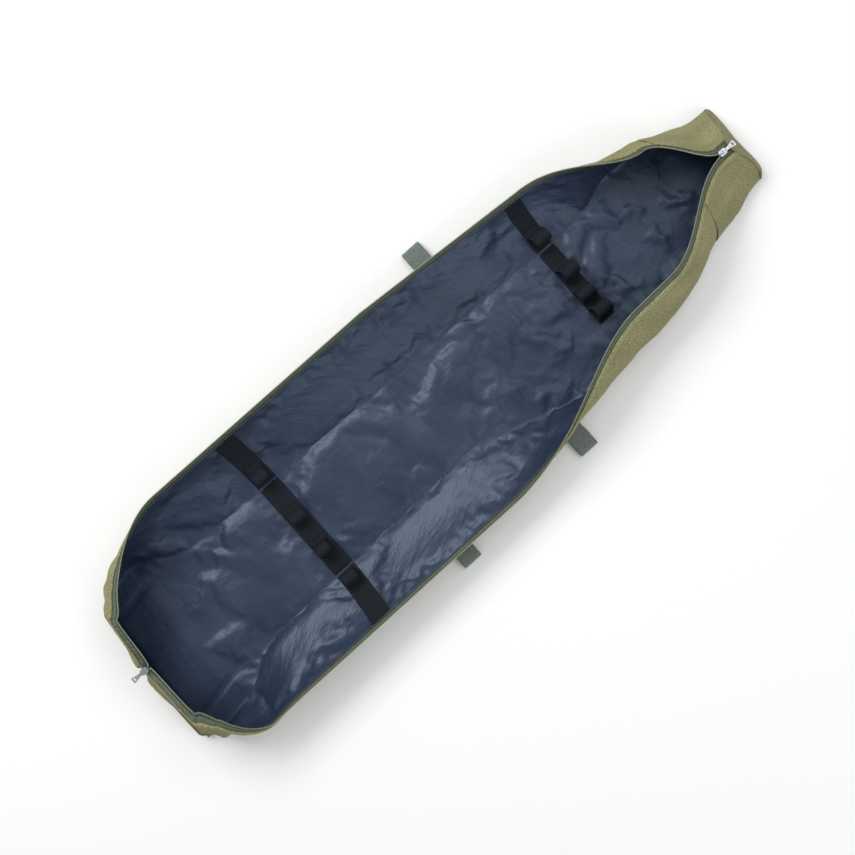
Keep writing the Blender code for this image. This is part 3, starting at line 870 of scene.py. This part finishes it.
def lining_grid():
    """The inside of the case as one sheet, from the left zip over the base to the right zip."""
    points, places = [], []
    for x in STATIONS:
        x_in = max(-FABRIC_X + LINING_INSET, min(FABRIC_X - LINING_INSET, x))
        half = base_half(x_in)
        z = MIDDLE_Z + LINING_FACE
        walls, runs = {}, {}
        for side in (1, -1):
            d = np.linspace(0.0, wall_length(side, x_in) - FABRIC_END + HEM_LAP, WALL_COLUMNS)
            walls[side] = wall_row(side, x_in, d, LINING_FACE)
            walls[side][0] = (x_in + lean_rate(x_in) * z, side * half, z)
            runs[side] = d + half
        y = np.linspace(half, -half, BASE_COLUMNS + 1)[1:-1]
        base = [(x_in + lean_rate(x_in) * z, v, z) for v in y]
        points.append(np.concatenate([walls[1][::-1], base, walls[-1]]))
        places.append(cloth_row(x_in, np.concatenate([runs[1][::-1], y, -runs[-1]])))
    return np.array(points), np.array(places)


def pinned_share(places):
    """How firmly each point of the lining is held: 1 at its seams and under the straps."""
    x, y = places[..., 0], places[..., 1]
    half = base_half(x)
    held = np.zeros(x.shape)
    held[:, :2] = held[:, -2:] = 1.0
    held[:2, :] = held[-2:, :] = 1.0
    strapped = {name: np.abs(x - STRAP_X[name]) < WEB_WIDTH[name] / 2 + PIN_MARGIN for name in STRAP_X}
    held[strapped["lower"] | (strapped["upper"] & (y > -half))] = 1.0
    return np.maximum(held, SEAM_PIN * (np.abs(np.abs(y) - half) < SEAM_PIN_HALF))


def simulate_sheet(points, faces, pins):
    """Lets slightly oversize cloth buckle between its seams. Returns the moved points."""
    mesh = bpy.data.meshes.new("sheet_sim")
    mesh.from_pydata(points.tolist(), [], faces)
    obj = bpy.data.objects.new("sheet_sim", mesh)
    bpy.context.scene.collection.objects.link(obj)
    group = obj.vertex_groups.new(name="held")
    for level in np.unique(np.round(pins, 2)):
        if level > 0:
            chosen = np.nonzero(np.abs(pins - level) < 0.006)[0]
            group.add([int(i) for i in chosen], float(level), "REPLACE")
    cloth = obj.modifiers.new("Cloth", "CLOTH")
    for key, value in CLOTH_SETTINGS.items():
        setattr(cloth.settings, key, value)
    cloth.settings.effector_weights.gravity = 0.0
    cloth.collision_settings.use_collision = False
    cloth.point_cache.frame_start = 1
    cloth.point_cache.frame_end = SIM_FRAMES
    scene = bpy.context.scene
    for number in range(1, SIM_FRAMES + 1):
        scene.frame_set(number)
    seen = obj.evaluated_get(bpy.context.evaluated_depsgraph_get())
    moved = np.empty(len(points) * 3)
    seen.data.vertices.foreach_get("co", moved)
    scene.frame_set(1)
    bpy.data.objects.remove(obj, do_unlink=True)
    return moved.reshape(-1, 3)


def wrinkled_lining():
    """The lining's points after simulation, with each fold kept between the shell and its limit."""
    grid, places = lining_grid()
    rows, columns = grid.shape[:2]
    faces = grid_faces(rows, columns)
    flat = grid.reshape(-1, 3)
    normals = mesh_normals(flat, faces)
    pins = pinned_share(places).reshape(-1)
    free = 1.0 - pins
    seedling = hills(places.reshape(-1, 3), 26.0, 11, 3)
    start = flat + normals * (START_RIPPLE * seedling * free)[:, None]
    moved = simulate_sheet(start, faces, pins)
    shift = moved - flat
    rise = (shift * normals).sum(axis=1)
    slide = shift - rise[:, None] * normals
    rise = np.where(rise < 0, SUNK_SHARE * rise, rise)
    seam = np.abs(np.abs(flat[:, 1]) - base_half(flat[:, 0]))
    limit = FOLD_LIMIT * (SEAM_FOLD + (1.0 - SEAM_FOLD) * smooth_array(seam / SEAM_REACH))
    rise = limit * np.tanh(rise / limit)
    rise = np.maximum(rise, SUNK_LIMIT)
    length = np.linalg.norm(slide, axis=1)
    slide *= np.minimum(1.0, SLIDE_LIMIT / np.maximum(length, 1e-9))[:, None]
    calm = smooth_array((CALM_END - np.abs(flat[:, 0])) / CALM_RUN)
    rise = rise * calm + END_CLEARANCE * (1.0 - calm) * free
    moved = flat + rise[:, None] * normals + slide * (free * calm)[:, None]
    return shape_ends(moved).reshape(rows, columns, 3), grid, places, faces


def add_lining():
    """The lining in one sheet for each stretch, its places on the cloth measured on the uncreased sheet.
    """
    grid, uncreased, places, faces = wrinkled_lining()
    places = along_cloth(uncreased, places)
    shading = mesh_normals(grid.reshape(-1, 3), faces).reshape(grid.shape)

    def cloth_piece(name, rows, columns):
        pick = np.ix_(rows, columns)
        obj = make_object(name, grid[pick], grid_faces(len(rows), len(columns)), "lining",
                          places[pick], shading[pick])
        return obj

    rows, columns = grid.shape[:2]
    left = np.arange(0, WALL_COLUMNS)
    middle = np.arange(WALL_COLUMNS - 1, WALL_COLUMNS + BASE_COLUMNS)
    right = np.arange(WALL_COLUMNS + BASE_COLUMNS - 1, columns)
    base = cloth_piece("base_lining_cloth", np.arange(rows), middle)
    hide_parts("base_lining")
    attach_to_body(base, "base")
    for (side, label), chosen in zip(SIDES, (left, right)):
        for zone in zones(side, label):
            obj = cloth_piece(f"{label}_{zone.name}_lining_cloth", rows_of(zone), chosen)
            attach(obj, side, zone)
            stand_for(label, zone, "lining")


# Zip

COIL_PITCH = 0.0020
COIL_SAMPLES = 9
COIL_DEPTH = 0.00165
COIL_HALF_WIDTH = 0.00125
COIL_HALF_HEIGHT = 0.00072
COIL_WIRE = 0.00036
TAPE_CELLS = 8
TAPE_STITCH = 0.0050
CORD_HEIGHT = 0.00035
CORD_HALF = 0.0009
# Radius of the dark tube that is painted shade in the cap seams.
SEAM_SHADE_RADIUS = 0.0009

# Stitches: where they run below the zip's edge, how far off the wall's middle, and the way they face
TAPE_STITCHES = ((TAPE_STITCH, 0.0009, 1), (TAPE_STITCH, -0.0011, -1))
HEM_STITCHES = (FABRIC_END + 0.0030, OUTER_FACE - HEM_SWELL, -1)
LINING_STITCHES = (FABRIC_END + 0.0008, LINING_FACE + 0.0002, 1)
LINING_THREAD = 0.00024


def zip_path(side, distance, offset, xs):
    """A line along the wall at a distance from its tip."""
    return shape_ends([wall_row(side, x, [wall_length(side, x) - distance], [offset])[0] for x in xs])


def zip_stitches(side, xs, distance, offset, way, **stitch):
    """A row of stitches along the wall, standing out the way that is given."""
    path = zip_path(side, distance, offset, xs)
    near = zip_path(side, distance, offset + way * 0.001, xs)
    return stitch_parts(path, near - path, **stitch)


def zip_frame(side, x):
    """The tip of the wall at x, with its direction along the wall and its normal."""
    total = wall_length(side, x)
    a, b = wall_row(side, x, [total - 0.003, total], [0.0, 0.0])
    out = (b - a) / np.linalg.norm(b - a)
    low, high = wall_row(side, x, [total - 0.001] * 2, [0.0, 0.001])
    return b, out, (high - low) / np.linalg.norm(high - low)


def coil(side, xs):
    """The zip's teeth as one coil along the tip of the wall."""
    tips, outs, lifts = (np.array(part) for part in zip(*(zip_frame(side, x) for x in xs)))
    tips = shape_ends(tips)
    marks = path_marks(tips)
    turns = max(1, int(marks[-1] / COIL_PITCH))
    at = np.linspace(0.0, marks[-1], turns * COIL_SAMPLES + 1)
    tips, outs, lifts = (read_path(at, marks, values) for values in (tips, outs, lifts))
    phase = 2 * math.pi * np.arange(len(at)) / COIL_SAMPLES
    reach = np.sign(np.cos(phase)) * np.abs(np.cos(phase)) ** 0.7
    path = tips + (COIL_HALF_WIDTH * reach - COIL_DEPTH)[:, None] * outs
    return tube(path + (COIL_HALF_HEIGHT * np.sin(phase))[:, None] * lifts, COIL_WIRE, sides=5)


def tape_sheet(side, xs):
    """The zip's tape: a thin strip with a raised cord under the teeth."""
    below = np.linspace(FABRIC_END + 0.004, TAPE_END - 0.0006, TAPE_CELLS + 1)
    ridge = CORD_HEIGHT * np.exp(-(((below - TAPE_STITCH) / CORD_HALF) ** 2))
    below = np.concatenate([below, below[::-1]])
    offsets = np.concatenate([TAPE_FACE[1] + ridge, TAPE_FACE[0] - ridge[::-1]])
    grid = np.array([wall_row(side, x, wall_length(side, x) - below, offsets) for x in xs])
    places = np.array([cloth_row(x, below) for x in xs])
    faces = capped_faces(*grid.shape[:2])
    return shape_ends(grid.reshape(-1, 3)), flipped(faces) if side > 0 else faces, places


def add_zip():
    """The tape, teeth and stitching of each stretch of both walls."""
    for side, label in SIDES:
        for zone in zones(side, label):
            name = f"{label}_{zone.name}"
            xs = STATIONS[rows_of(zone)]
            points, faces, places = tape_sheet(side, xs)
            tape = make_object(f"{name}_zip_tape", points, faces, "tape", places)
            stand_for(label, zone, "tape")
            fine = np.linspace(xs[0], xs[-1], len(xs) * 2)
            teeth = make_object(f"{name}_zip_coil", *coil(side, fine), "coil")
            stand_for(label, zone, "coil")
            parts = [p for line in TAPE_STITCHES for p in zip_stitches(side, xs, *line, **FINE_STITCH)]
            sewing = make_object(f"{name}_zip_thread", *joined(parts), "tape_thread")
            parts = zip_stitches(side, xs, *HEM_STITCHES)
            parts += zip_stitches(side, xs, *LINING_STITCHES, radius=LINING_THREAD)
            hem = make_object(f"{name}_hem_thread", *joined(parts), "thread")
            for obj in (tape, teeth, sewing, hem):
                attach(obj, side, zone)


def add_cap_seam_shades():
    """Dark tubes sunk in the seam where the caps of the top end are sewn to the walls: painted shade in
    the seam.
    """
    for side, label in SIDES:
        x = CAP_SEAM_X - 0.0008
        d = np.linspace(0.010, wall_length(side, x) - FABRIC_END - 0.0005, 50)
        path = shape_ends(wall_row(side, x, d, OUTER_FACE + 0.0005))
        path[:, 2] = np.maximum(path[:, 2], 0.0012)
        # A dark tube along the seam, as painted shade.
        obj = make_object(f"{label}_cap_seam", *tube(path, SEAM_SHADE_RADIUS), "seam")
        attach(obj, side, zones(side, label)[-1])


# Base and ends

END_CENTRE = np.array([0.0, 0.0, 0.036])
END_PUFF = {1: 0.0065, -1: 0.0030}
UNDERSIDE_Z = 0.0004
PIPING_RADIUS = 0.0016
PIPING_SIDES = 8
PIPING_STEP = 0.004


def add_base_shell():
    """The padded back panel under the lining."""
    rows, places = [], []
    for x in STATIONS[::3]:
        half = base_half(x) - 0.0004
        y = np.linspace(-half, half, 17)
        swell = 1.0 - (y / half) ** 8
        bottom = np.stack([x + 0 * y, y, 0.0002 + 0.0004 * (1 - swell)], axis=1)
        top = np.stack([x + lean_rate(x) * 0.004 + 0 * y, y[::-1], 0.0034 + 0.0006 * swell], axis=1)
        rows.append(np.concatenate([bottom, top]))
        places.append(cloth_row(x, np.concatenate([y, y[::-1] + 0.5])))
    grid = np.array(rows)
    faces = flipped(capped_faces(*grid.shape[:2]))
    points = shape_ends(grid.reshape(-1, 3))
    obj = make_object("base_shell", points, faces, "olive", np.concatenate(places))
    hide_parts("base_outer")
    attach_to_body(obj, "base")


def add_piping(name, path, marks):
    """A corded seam that rides on the base."""
    points, faces = tube(path, PIPING_RADIUS, PIPING_SIDES)
    run = np.repeat(marks, PIPING_SIDES)
    turns = np.tile(np.arange(PIPING_SIDES) * 0.0012, len(path))
    obj = make_object(name, points, faces, "piping", np.stack([run, turns, 0 * run], axis=1))
    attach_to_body(obj, "base")


def end_ring(x):
    """The outline of an end, from the ridge down the left, under the base and up the right."""
    total = wall_length(1, x)
    d = np.linspace(total, 0.0, 34)
    left = wall_row(1, x, d, OUTER_FACE * np.clip((total - d) / 0.012 + 0.25, 0.0, 1.0))
    left[:, 2] = np.clip(left[:, 2], UNDERSIDE_Z, None)
    half = base_half(x)
    under = [(x, y, UNDERSIDE_Z) for y in np.linspace(half, -half, 14)[1:-1]]
    right = left[::-1] * np.array([1.0, -1.0, 1.0])
    return np.concatenate([left, under, right])


def end_places(rows):
    """The end panels' places on the cloth: across and up."""
    return rows[..., [1, 2, 0]] * np.array([1.0, 1.0, 0.0])


def add_end(sign, label):
    """An end panel: a soft pillow inside a piped seam."""
    x = sign * FABRIC_X
    rate = lean_rate(x)
    ring = end_ring(x)
    flat = ring * np.array([0.0, 1.0, 1.0])
    front, back = [], []
    for s in np.concatenate([np.linspace(0.04, 0.86, 12), [0.93, 0.975, 1.0]]):
        puff = 0.0010 + END_PUFF[sign] * (1 - s ** 3) ** 0.5
        for rows, depth in ((front, sign * (0.0012 + puff)), (back, 0.0)):
            row = END_CENTRE + s * (flat - END_CENTRE)
            row[:, 0] = x + rate * row[:, 2] + depth
            rows.append(row)
    rows = np.array(front + back[::-1])
    places = end_places(rows)
    dents = hills(rows.reshape(-1, 3), 22.0, 21 + sign).reshape(rows.shape[:2])
    rows[: len(front), :, 0] += sign * 0.0014 * dents[: len(front)]
    faces = capped_faces(*rows.shape[:2])
    points = shape_ends(rows.reshape(-1, 3))
    points[:, 2] = np.maximum(points[:, 2], FLOOR_GAP)
    faces = flipped(faces) if sign > 0 else faces
    shell = make_object(f"{label}_end_shell", points, faces, "olive", places)
    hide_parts(f"{label}_end_outer")
    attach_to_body(shell, "base")
    grow = flat - END_CENTRE
    seam = ring + grow / np.linalg.norm(grow, axis=1)[:, None] * 0.0004
    seam[:, 0] = x + rate * seam[:, 2] + sign * 0.0016
    seam[:, 2] = np.maximum(seam[:, 2], 0.0020)
    seam = shape_ends(resampled(seam, PIPING_STEP))
    add_piping(f"{label}_end_piping", seam, np.arange(len(seam)) * PIPING_STEP)
    add_end_lining(sign, label, flat)


def add_end_lining(sign, label, flat):
    """The lining of an end, a little slack and a little smaller than the end's flat outline."""
    x = sign * (FABRIC_X - 0.0022)
    inward = END_CENTRE - flat
    inset = 0.0026 + 0.0036 * smooth_array(np.abs(flat[:, 1]) / 0.035)
    inner = flat + (inset / np.linalg.norm(inward, axis=1))[:, None] * inward
    inner[:, 2] = np.maximum(inner[:, 2], MIDDLE_Z + LINING_FACE + 0.0002)
    rows = []
    for s in np.linspace(0.03, 1.0, 14):
        row = END_CENTRE + s * (inner - END_CENTRE)
        slack = 0.0045 * (1 - s ** 2)
        folds = hills(row, 30.0, 31 + sign, 3)
        row[:, 0] = x + lean_rate(x) * row[:, 2] - sign * np.clip(slack * (1.0 + 1.3 * folds), 0.0, 0.01)
        rows.append(row)
    rows = np.array(rows)
    count, columns = rows.shape[:2]
    faces = grid_faces(count, columns, closed=True) + [list(range(columns))[::-1]]
    faces = flipped(faces) if sign < 0 else faces
    points = shape_ends(rows.reshape(-1, 3))
    obj = make_object(f"{label}_end_lining_cloth", points, faces, "lining", end_places(rows))
    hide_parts(f"{label}_end_lining")
    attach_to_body(obj, "base")


def add_base_piping():
    """A corded seam along each bottom edge of the case."""
    xs = STATIONS[2:-2]
    for side, label in SIDES:
        path = shape_ends([(x, side * (base_half(x) + 0.0002), 0.0019) for x in xs])
        add_piping(f"{label}_base_piping", path, xs)


# Straps

STRAP_GAP = 0.0035
WALL_STRAP_START = 0.0020
WALL_STRAP_END = FABRIC_END + 0.002
STRAP_WAVE = 0.0005
LOOP_SLANTS = (0.0035, -0.0025, 0.0020)
WALL_LOOP_SLANT = 0.002
WALL_LOOP_LIFT = 0.0016
LOOP_SWELL = 0.22
LOOP_CELLS = 28
BOX_HALF = 0.0022
BOX_MARGIN = 0.002
ACROSS, UP = np.array([1.0, 0.0]), np.array([0.0, 1.0])


def add_strap(name, centres, sides, thickness, look, node, body):
    """A strap that stands for a CAD node and rides on a body."""
    points, faces, places = strap(centres, sides, thickness)
    obj = make_object(name, points, faces, look, places)
    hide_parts(node)
    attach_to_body(obj, body)
    return obj


def wall_strip(side, x, width):
    """Centre line and half-width vectors of a strap sewn across a wall."""
    ends = []
    for at in (x - width / 2, x + width / 2):
        d = np.linspace(WALL_STRAP_START, wall_length(side, at) - WALL_STRAP_END, 40)
        ends.append(wall_row(side, at, d, WEB_MIDDLE))
    return (ends[0] + ends[1]) / 2, (ends[1] - ends[0]) / 2


def add_webs():
    """The two straps across the inside, cut at the side seams."""
    for label, x in STRAP_X.items():
        half = base_half(x) - STRAP_GAP
        y = np.linspace(half, -half, 60)
        wave = STRAP_WAVE * np.sin(y * 95.0) ** 2
        centres = np.stack([x + 0 * y, y, MIDDLE_Z + WEB_MIDDLE + wave], axis=1)
        sides = np.tile([WEB_WIDTH[label] / 2, 0.0, 0.0], (len(y), 1))
        add_strap(f"{label}_base_strap", centres, sides, WEB_THICKNESS, "black",
                  f"{label}_base_web", "base")
        for side, name in STRAP_SIDES[label]:
            centres, sides = wall_strip(side, x, WEB_WIDTH[label])
            add_strap(f"{label}_{name}_strap", centres, sides, WEB_THICKNESS, "black",
                      f"{label}_{name}_web", f"{name}_wall")


def loop_profile():
    """A loop seen from its side: along the strap, and up from it."""
    reach = LOOP_HALF_SPAN - LOOP_FOOT
    outline = [(-LOOP_HALF_SPAN - 0.001, 0.0), (-LOOP_HALF_SPAN + 0.003, 0.0)]
    for n in range(LOOP_CELLS + 1):
        angle = math.pi * (1 - n / LOOP_CELLS)
        swell = 1.0 + LOOP_SWELL * math.sin(angle)
        outline.append((reach * swell * math.cos(angle), LOOP_HEIGHT * math.sin(angle) ** 0.8))
    return np.array(outline + [(LOOP_HALF_SPAN - 0.003, 0.0), (LOOP_HALF_SPAN + 0.001, 0.0)])


def add_loop(label, place, body, middle, tangent, normal, slant):
    """One rod loop with its stitched feet. slant turns it a little on its strap."""
    x, half = STRAP_X[label], LOOP_WIDTH[label] / 2
    node = f"{label}_{place}"
    outline = loop_profile()
    arch = middle + outline[:, :1] * tangent + outline[:, 1:] * normal
    twist = slant * outline[:, 1] / LOOP_HEIGHT
    centres = np.stack([x + twist, arch[:, 0], arch[:, 1]], axis=1)
    sides = np.tile([half, 0.0, 0.0], (len(centres), 1))
    loop = add_strap(f"{node}_strap", centres, sides, STRAP_THICKNESS, "black", node, body)
    lift = np.array([0.0, *normal])
    parts = []
    for edge in (-1, 1):
        foot = middle + tangent * edge * (LOOP_HALF_SPAN - BOX_MARGIN)
        spots = []
        for a, b in ((-1, -1), (1, -1), (1, 1), (-1, 1), (-1, -1)):
            spot = foot + tangent * b * BOX_HALF + normal * STRAP_THICKNESS / 2
            spots.append(np.array([x + a * (half - BOX_MARGIN), *spot]))
        for p, q in zip(spots, spots[1:]):
            parts += stitch_parts(np.array([p, q]), lift, **FINE_STITCH)
    thread = make_object(f"{node}_strap_thread", *joined(parts), "black_thread")
    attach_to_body(thread, body)
    return loop, thread


def add_loops():
    """The rod loops on both straps."""
    for label in STRAP_X:
        for n, y in enumerate(BASE_LOOPS[label]):
            middle = np.array([y, BASE_LOOP_Z])
            add_loop(label, f"base_loop_{n + 1}", "base", middle, ACROSS, UP, LOOP_SLANTS[n])
        for side, name in STRAP_SIDES[label]:
            add_wall_loop(label, side, name)


def add_wall_loop(label, side, name):
    """A loop on the wall, which rides on the wall, with meshes of its own."""
    x = STRAP_X[label]
    d = WALL_LOOP_REACH + LOOP_HALF_SPAN * np.array([-1.0, 0.0, 1.0])
    first, place, last = wall_row(side, x, d, 0.0)[:, 1:]
    tangent = (last - first) / np.linalg.norm(last - first)
    normal = np.array([-tangent[1], tangent[0]]) * side
    middle = place + normal * (BASE_LOOP_Z - MIDDLE_Z + WALL_LOOP_LIFT)
    pieces = add_loop(label, f"{name}_loop", f"{name}_wall", middle, tangent, normal, WALL_LOOP_SLANT)
    for piece in pieces:
        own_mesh(piece)


def leg_profile(x, start, reach):
    """A handle's leg from its side: out along the floor, then folded back over itself."""
    low, high = HANDLE_FLOOR_Z, HANDLE_FLOOR_Z + HANDLE_RISE
    corners = [
        Vector((base_half(x) + start, low)),
        Vector((reach - 0.040, low)),
        Vector((reach - 0.012, low)),
        Vector((reach, low + 0.002)),
        Vector((reach, high - 0.001)),
        Vector((reach - 0.012, high)),
        Vector((max(HANDLE_GRIP_Y + HANDLE_CORNER, reach - 0.030), high)),
    ]
    first, _, _, *rest = cut_corners(corners)
    return [first] + rest


def handle_edges(side):
    """The two edges of a handle's webbing, from the leg at -X to the leg at +X."""
    half = HANDLE_WIDTH / 2
    height = HANDLE_FLOOR_Z + HANDLE_RISE
    edges = ([], [])
    for sign, start, reach in zip((-1, 1), HANDLE_START[side], HANDLE_REACH[side]):
        runs = ([], [])
        for place in leg_profile(sign * HANDLE_LEG_X, start, reach):
            for n, edge in enumerate((-half, half)):
                runs[n].append((sign * (HANDLE_LEG_X + edge), side * place.x, place.y))
        turns = 10
        centre = (sign * (HANDLE_LEG_X - HANDLE_CORNER), side * (HANDLE_GRIP_Y + HANDLE_CORNER))
        for step in range(1, turns + 1):
            angle = math.pi / 2 * step / turns
            for n, edge in enumerate((-half, half)):
                radius = HANDLE_CORNER + edge
                x = centre[0] + sign * radius * math.cos(angle)
                y = centre[1] - side * radius * math.sin(angle)
                runs[n].append((x, y, height))
        for n in (0, 1):
            edges[n].extend(runs[n] if sign < 0 else runs[n][::-1])
    return np.array(edges[0]), np.array(edges[1])


def add_handles():
    """Both carry handles, each as one length of webbing."""
    for side, label in SIDES:
        a, b = handle_edges(side)
        marks = path_marks((a + b) / 2)
        at = np.unique(np.concatenate([marks, np.arange(0.0, marks[-1], HANDLE_STEP)]))
        a, b = read_path(at, marks, a), read_path(at, marks, b)
        add_strap(f"{label}_handle_webbing", (a + b) / 2, (b - a) / 2, HANDLE_THICKNESS, "grey",
                  f"{label}_handle", f"{label}_handle")


# Metal

def dress_metal():
    """Gives the sliders and pulls, which stay as in CAD, their look and soft edges."""
    for name in ("bottom_slider", "top_slider", "bottom_pull", "top_pull"):
        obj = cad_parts[name]
        obj.data.materials.clear()
        obj.data.materials.append(MATERIALS["metal"])
        bevel = obj.modifiers.new("Bevel", "BEVEL")
        bevel.width = 0.00035
        bevel.segments = 2
        bevel.limit_method = "ANGLE"
        bevel.angle_limit = math.radians(35)


# Stage, light and camera

FLOOR_HALF = 12.0


def add_stage():
    """A pale floor."""
    mesh = bpy.data.meshes.new("floor")
    corners = [(a * FLOOR_HALF, b * FLOOR_HALF, 0.0) for a, b in ((-1, -1), (1, -1), (1, 1), (-1, 1))]
    mesh.from_pydata(corners, [], [(0, 1, 2, 3)])
    floor = bpy.data.objects.new("floor", mesh)
    bpy.context.scene.collection.objects.link(floor)
    material = bpy.data.materials.new("floor_pale")
    material.use_nodes = True
    shader = material.node_tree.nodes["Principled BSDF"]
    shader.inputs["Base Color"].default_value = (0.86, 0.86, 0.85, 1.0)
    shader.inputs["Roughness"].default_value = 0.9
    mesh.materials.append(material)


def add_light(name, place, size, power):
    """A lamp that points at the origin."""
    data = bpy.data.lights.new(name, "AREA")
    data.shape = "RECTANGLE"
    data.size, data.size_y = size
    data.energy = power
    lamp = bpy.data.objects.new(name, data)
    lamp.location = place
    lamp.rotation_euler = (-Vector(place)).to_track_quat("-Z", "Y").to_euler()
    bpy.context.scene.collection.objects.link(lamp)


CAMERA_PLACE = (-0.045, -0.013, 2.0)
CAMERA_RIGHT = (0.7445, -0.6677, 0.0)
CAMERA_UP = (0.6677, 0.7445, 0.0)
CAMERA_LENS = 47.6


def add_camera():
    data = bpy.data.cameras.new("camera")
    data.lens = CAMERA_LENS
    data.sensor_width = 36.0
    camera = bpy.data.objects.new("camera", data)
    right, up = Vector(CAMERA_RIGHT).normalized(), Vector(CAMERA_UP).normalized()
    back = right.cross(up)
    turn = Matrix((right, up, back)).transposed().to_4x4()
    camera.matrix_world = Matrix.Translation(CAMERA_PLACE) @ turn
    bpy.context.scene.collection.objects.link(camera)
    bpy.context.scene.camera = camera


def add_world():
    world = bpy.data.worlds.new("studio")
    world.use_nodes = True
    background = world.node_tree.nodes["Background"]
    background.inputs["Color"].default_value = (0.95, 0.97, 1.0, 1.0)
    background.inputs["Strength"].default_value = 0.55
    bpy.context.scene.world = world
    bpy.context.scene.view_settings.view_transform = "Standard"


for side, label in SIDES:
    outer_wall(side, label)
add_lining()
add_zip()
add_cap_seam_shades()
add_base_shell()
add_base_piping()
for sign, label in ((-1, "bottom"), (1, "top")):
    add_end(sign, label)
add_webs()
add_loops()
add_handles()
dress_metal()
add_stage()
add_light("key", (-0.45, 1.75, 2.1), (1.7, 1.1), 52.0)
add_light("fill", (0.6, -2.0, 1.8), (1.8, 1.2), 15.0)
add_light("top", (1.5, 0.6, 2.9), (2.0, 2.0), 20.0)
add_world()
add_camera()
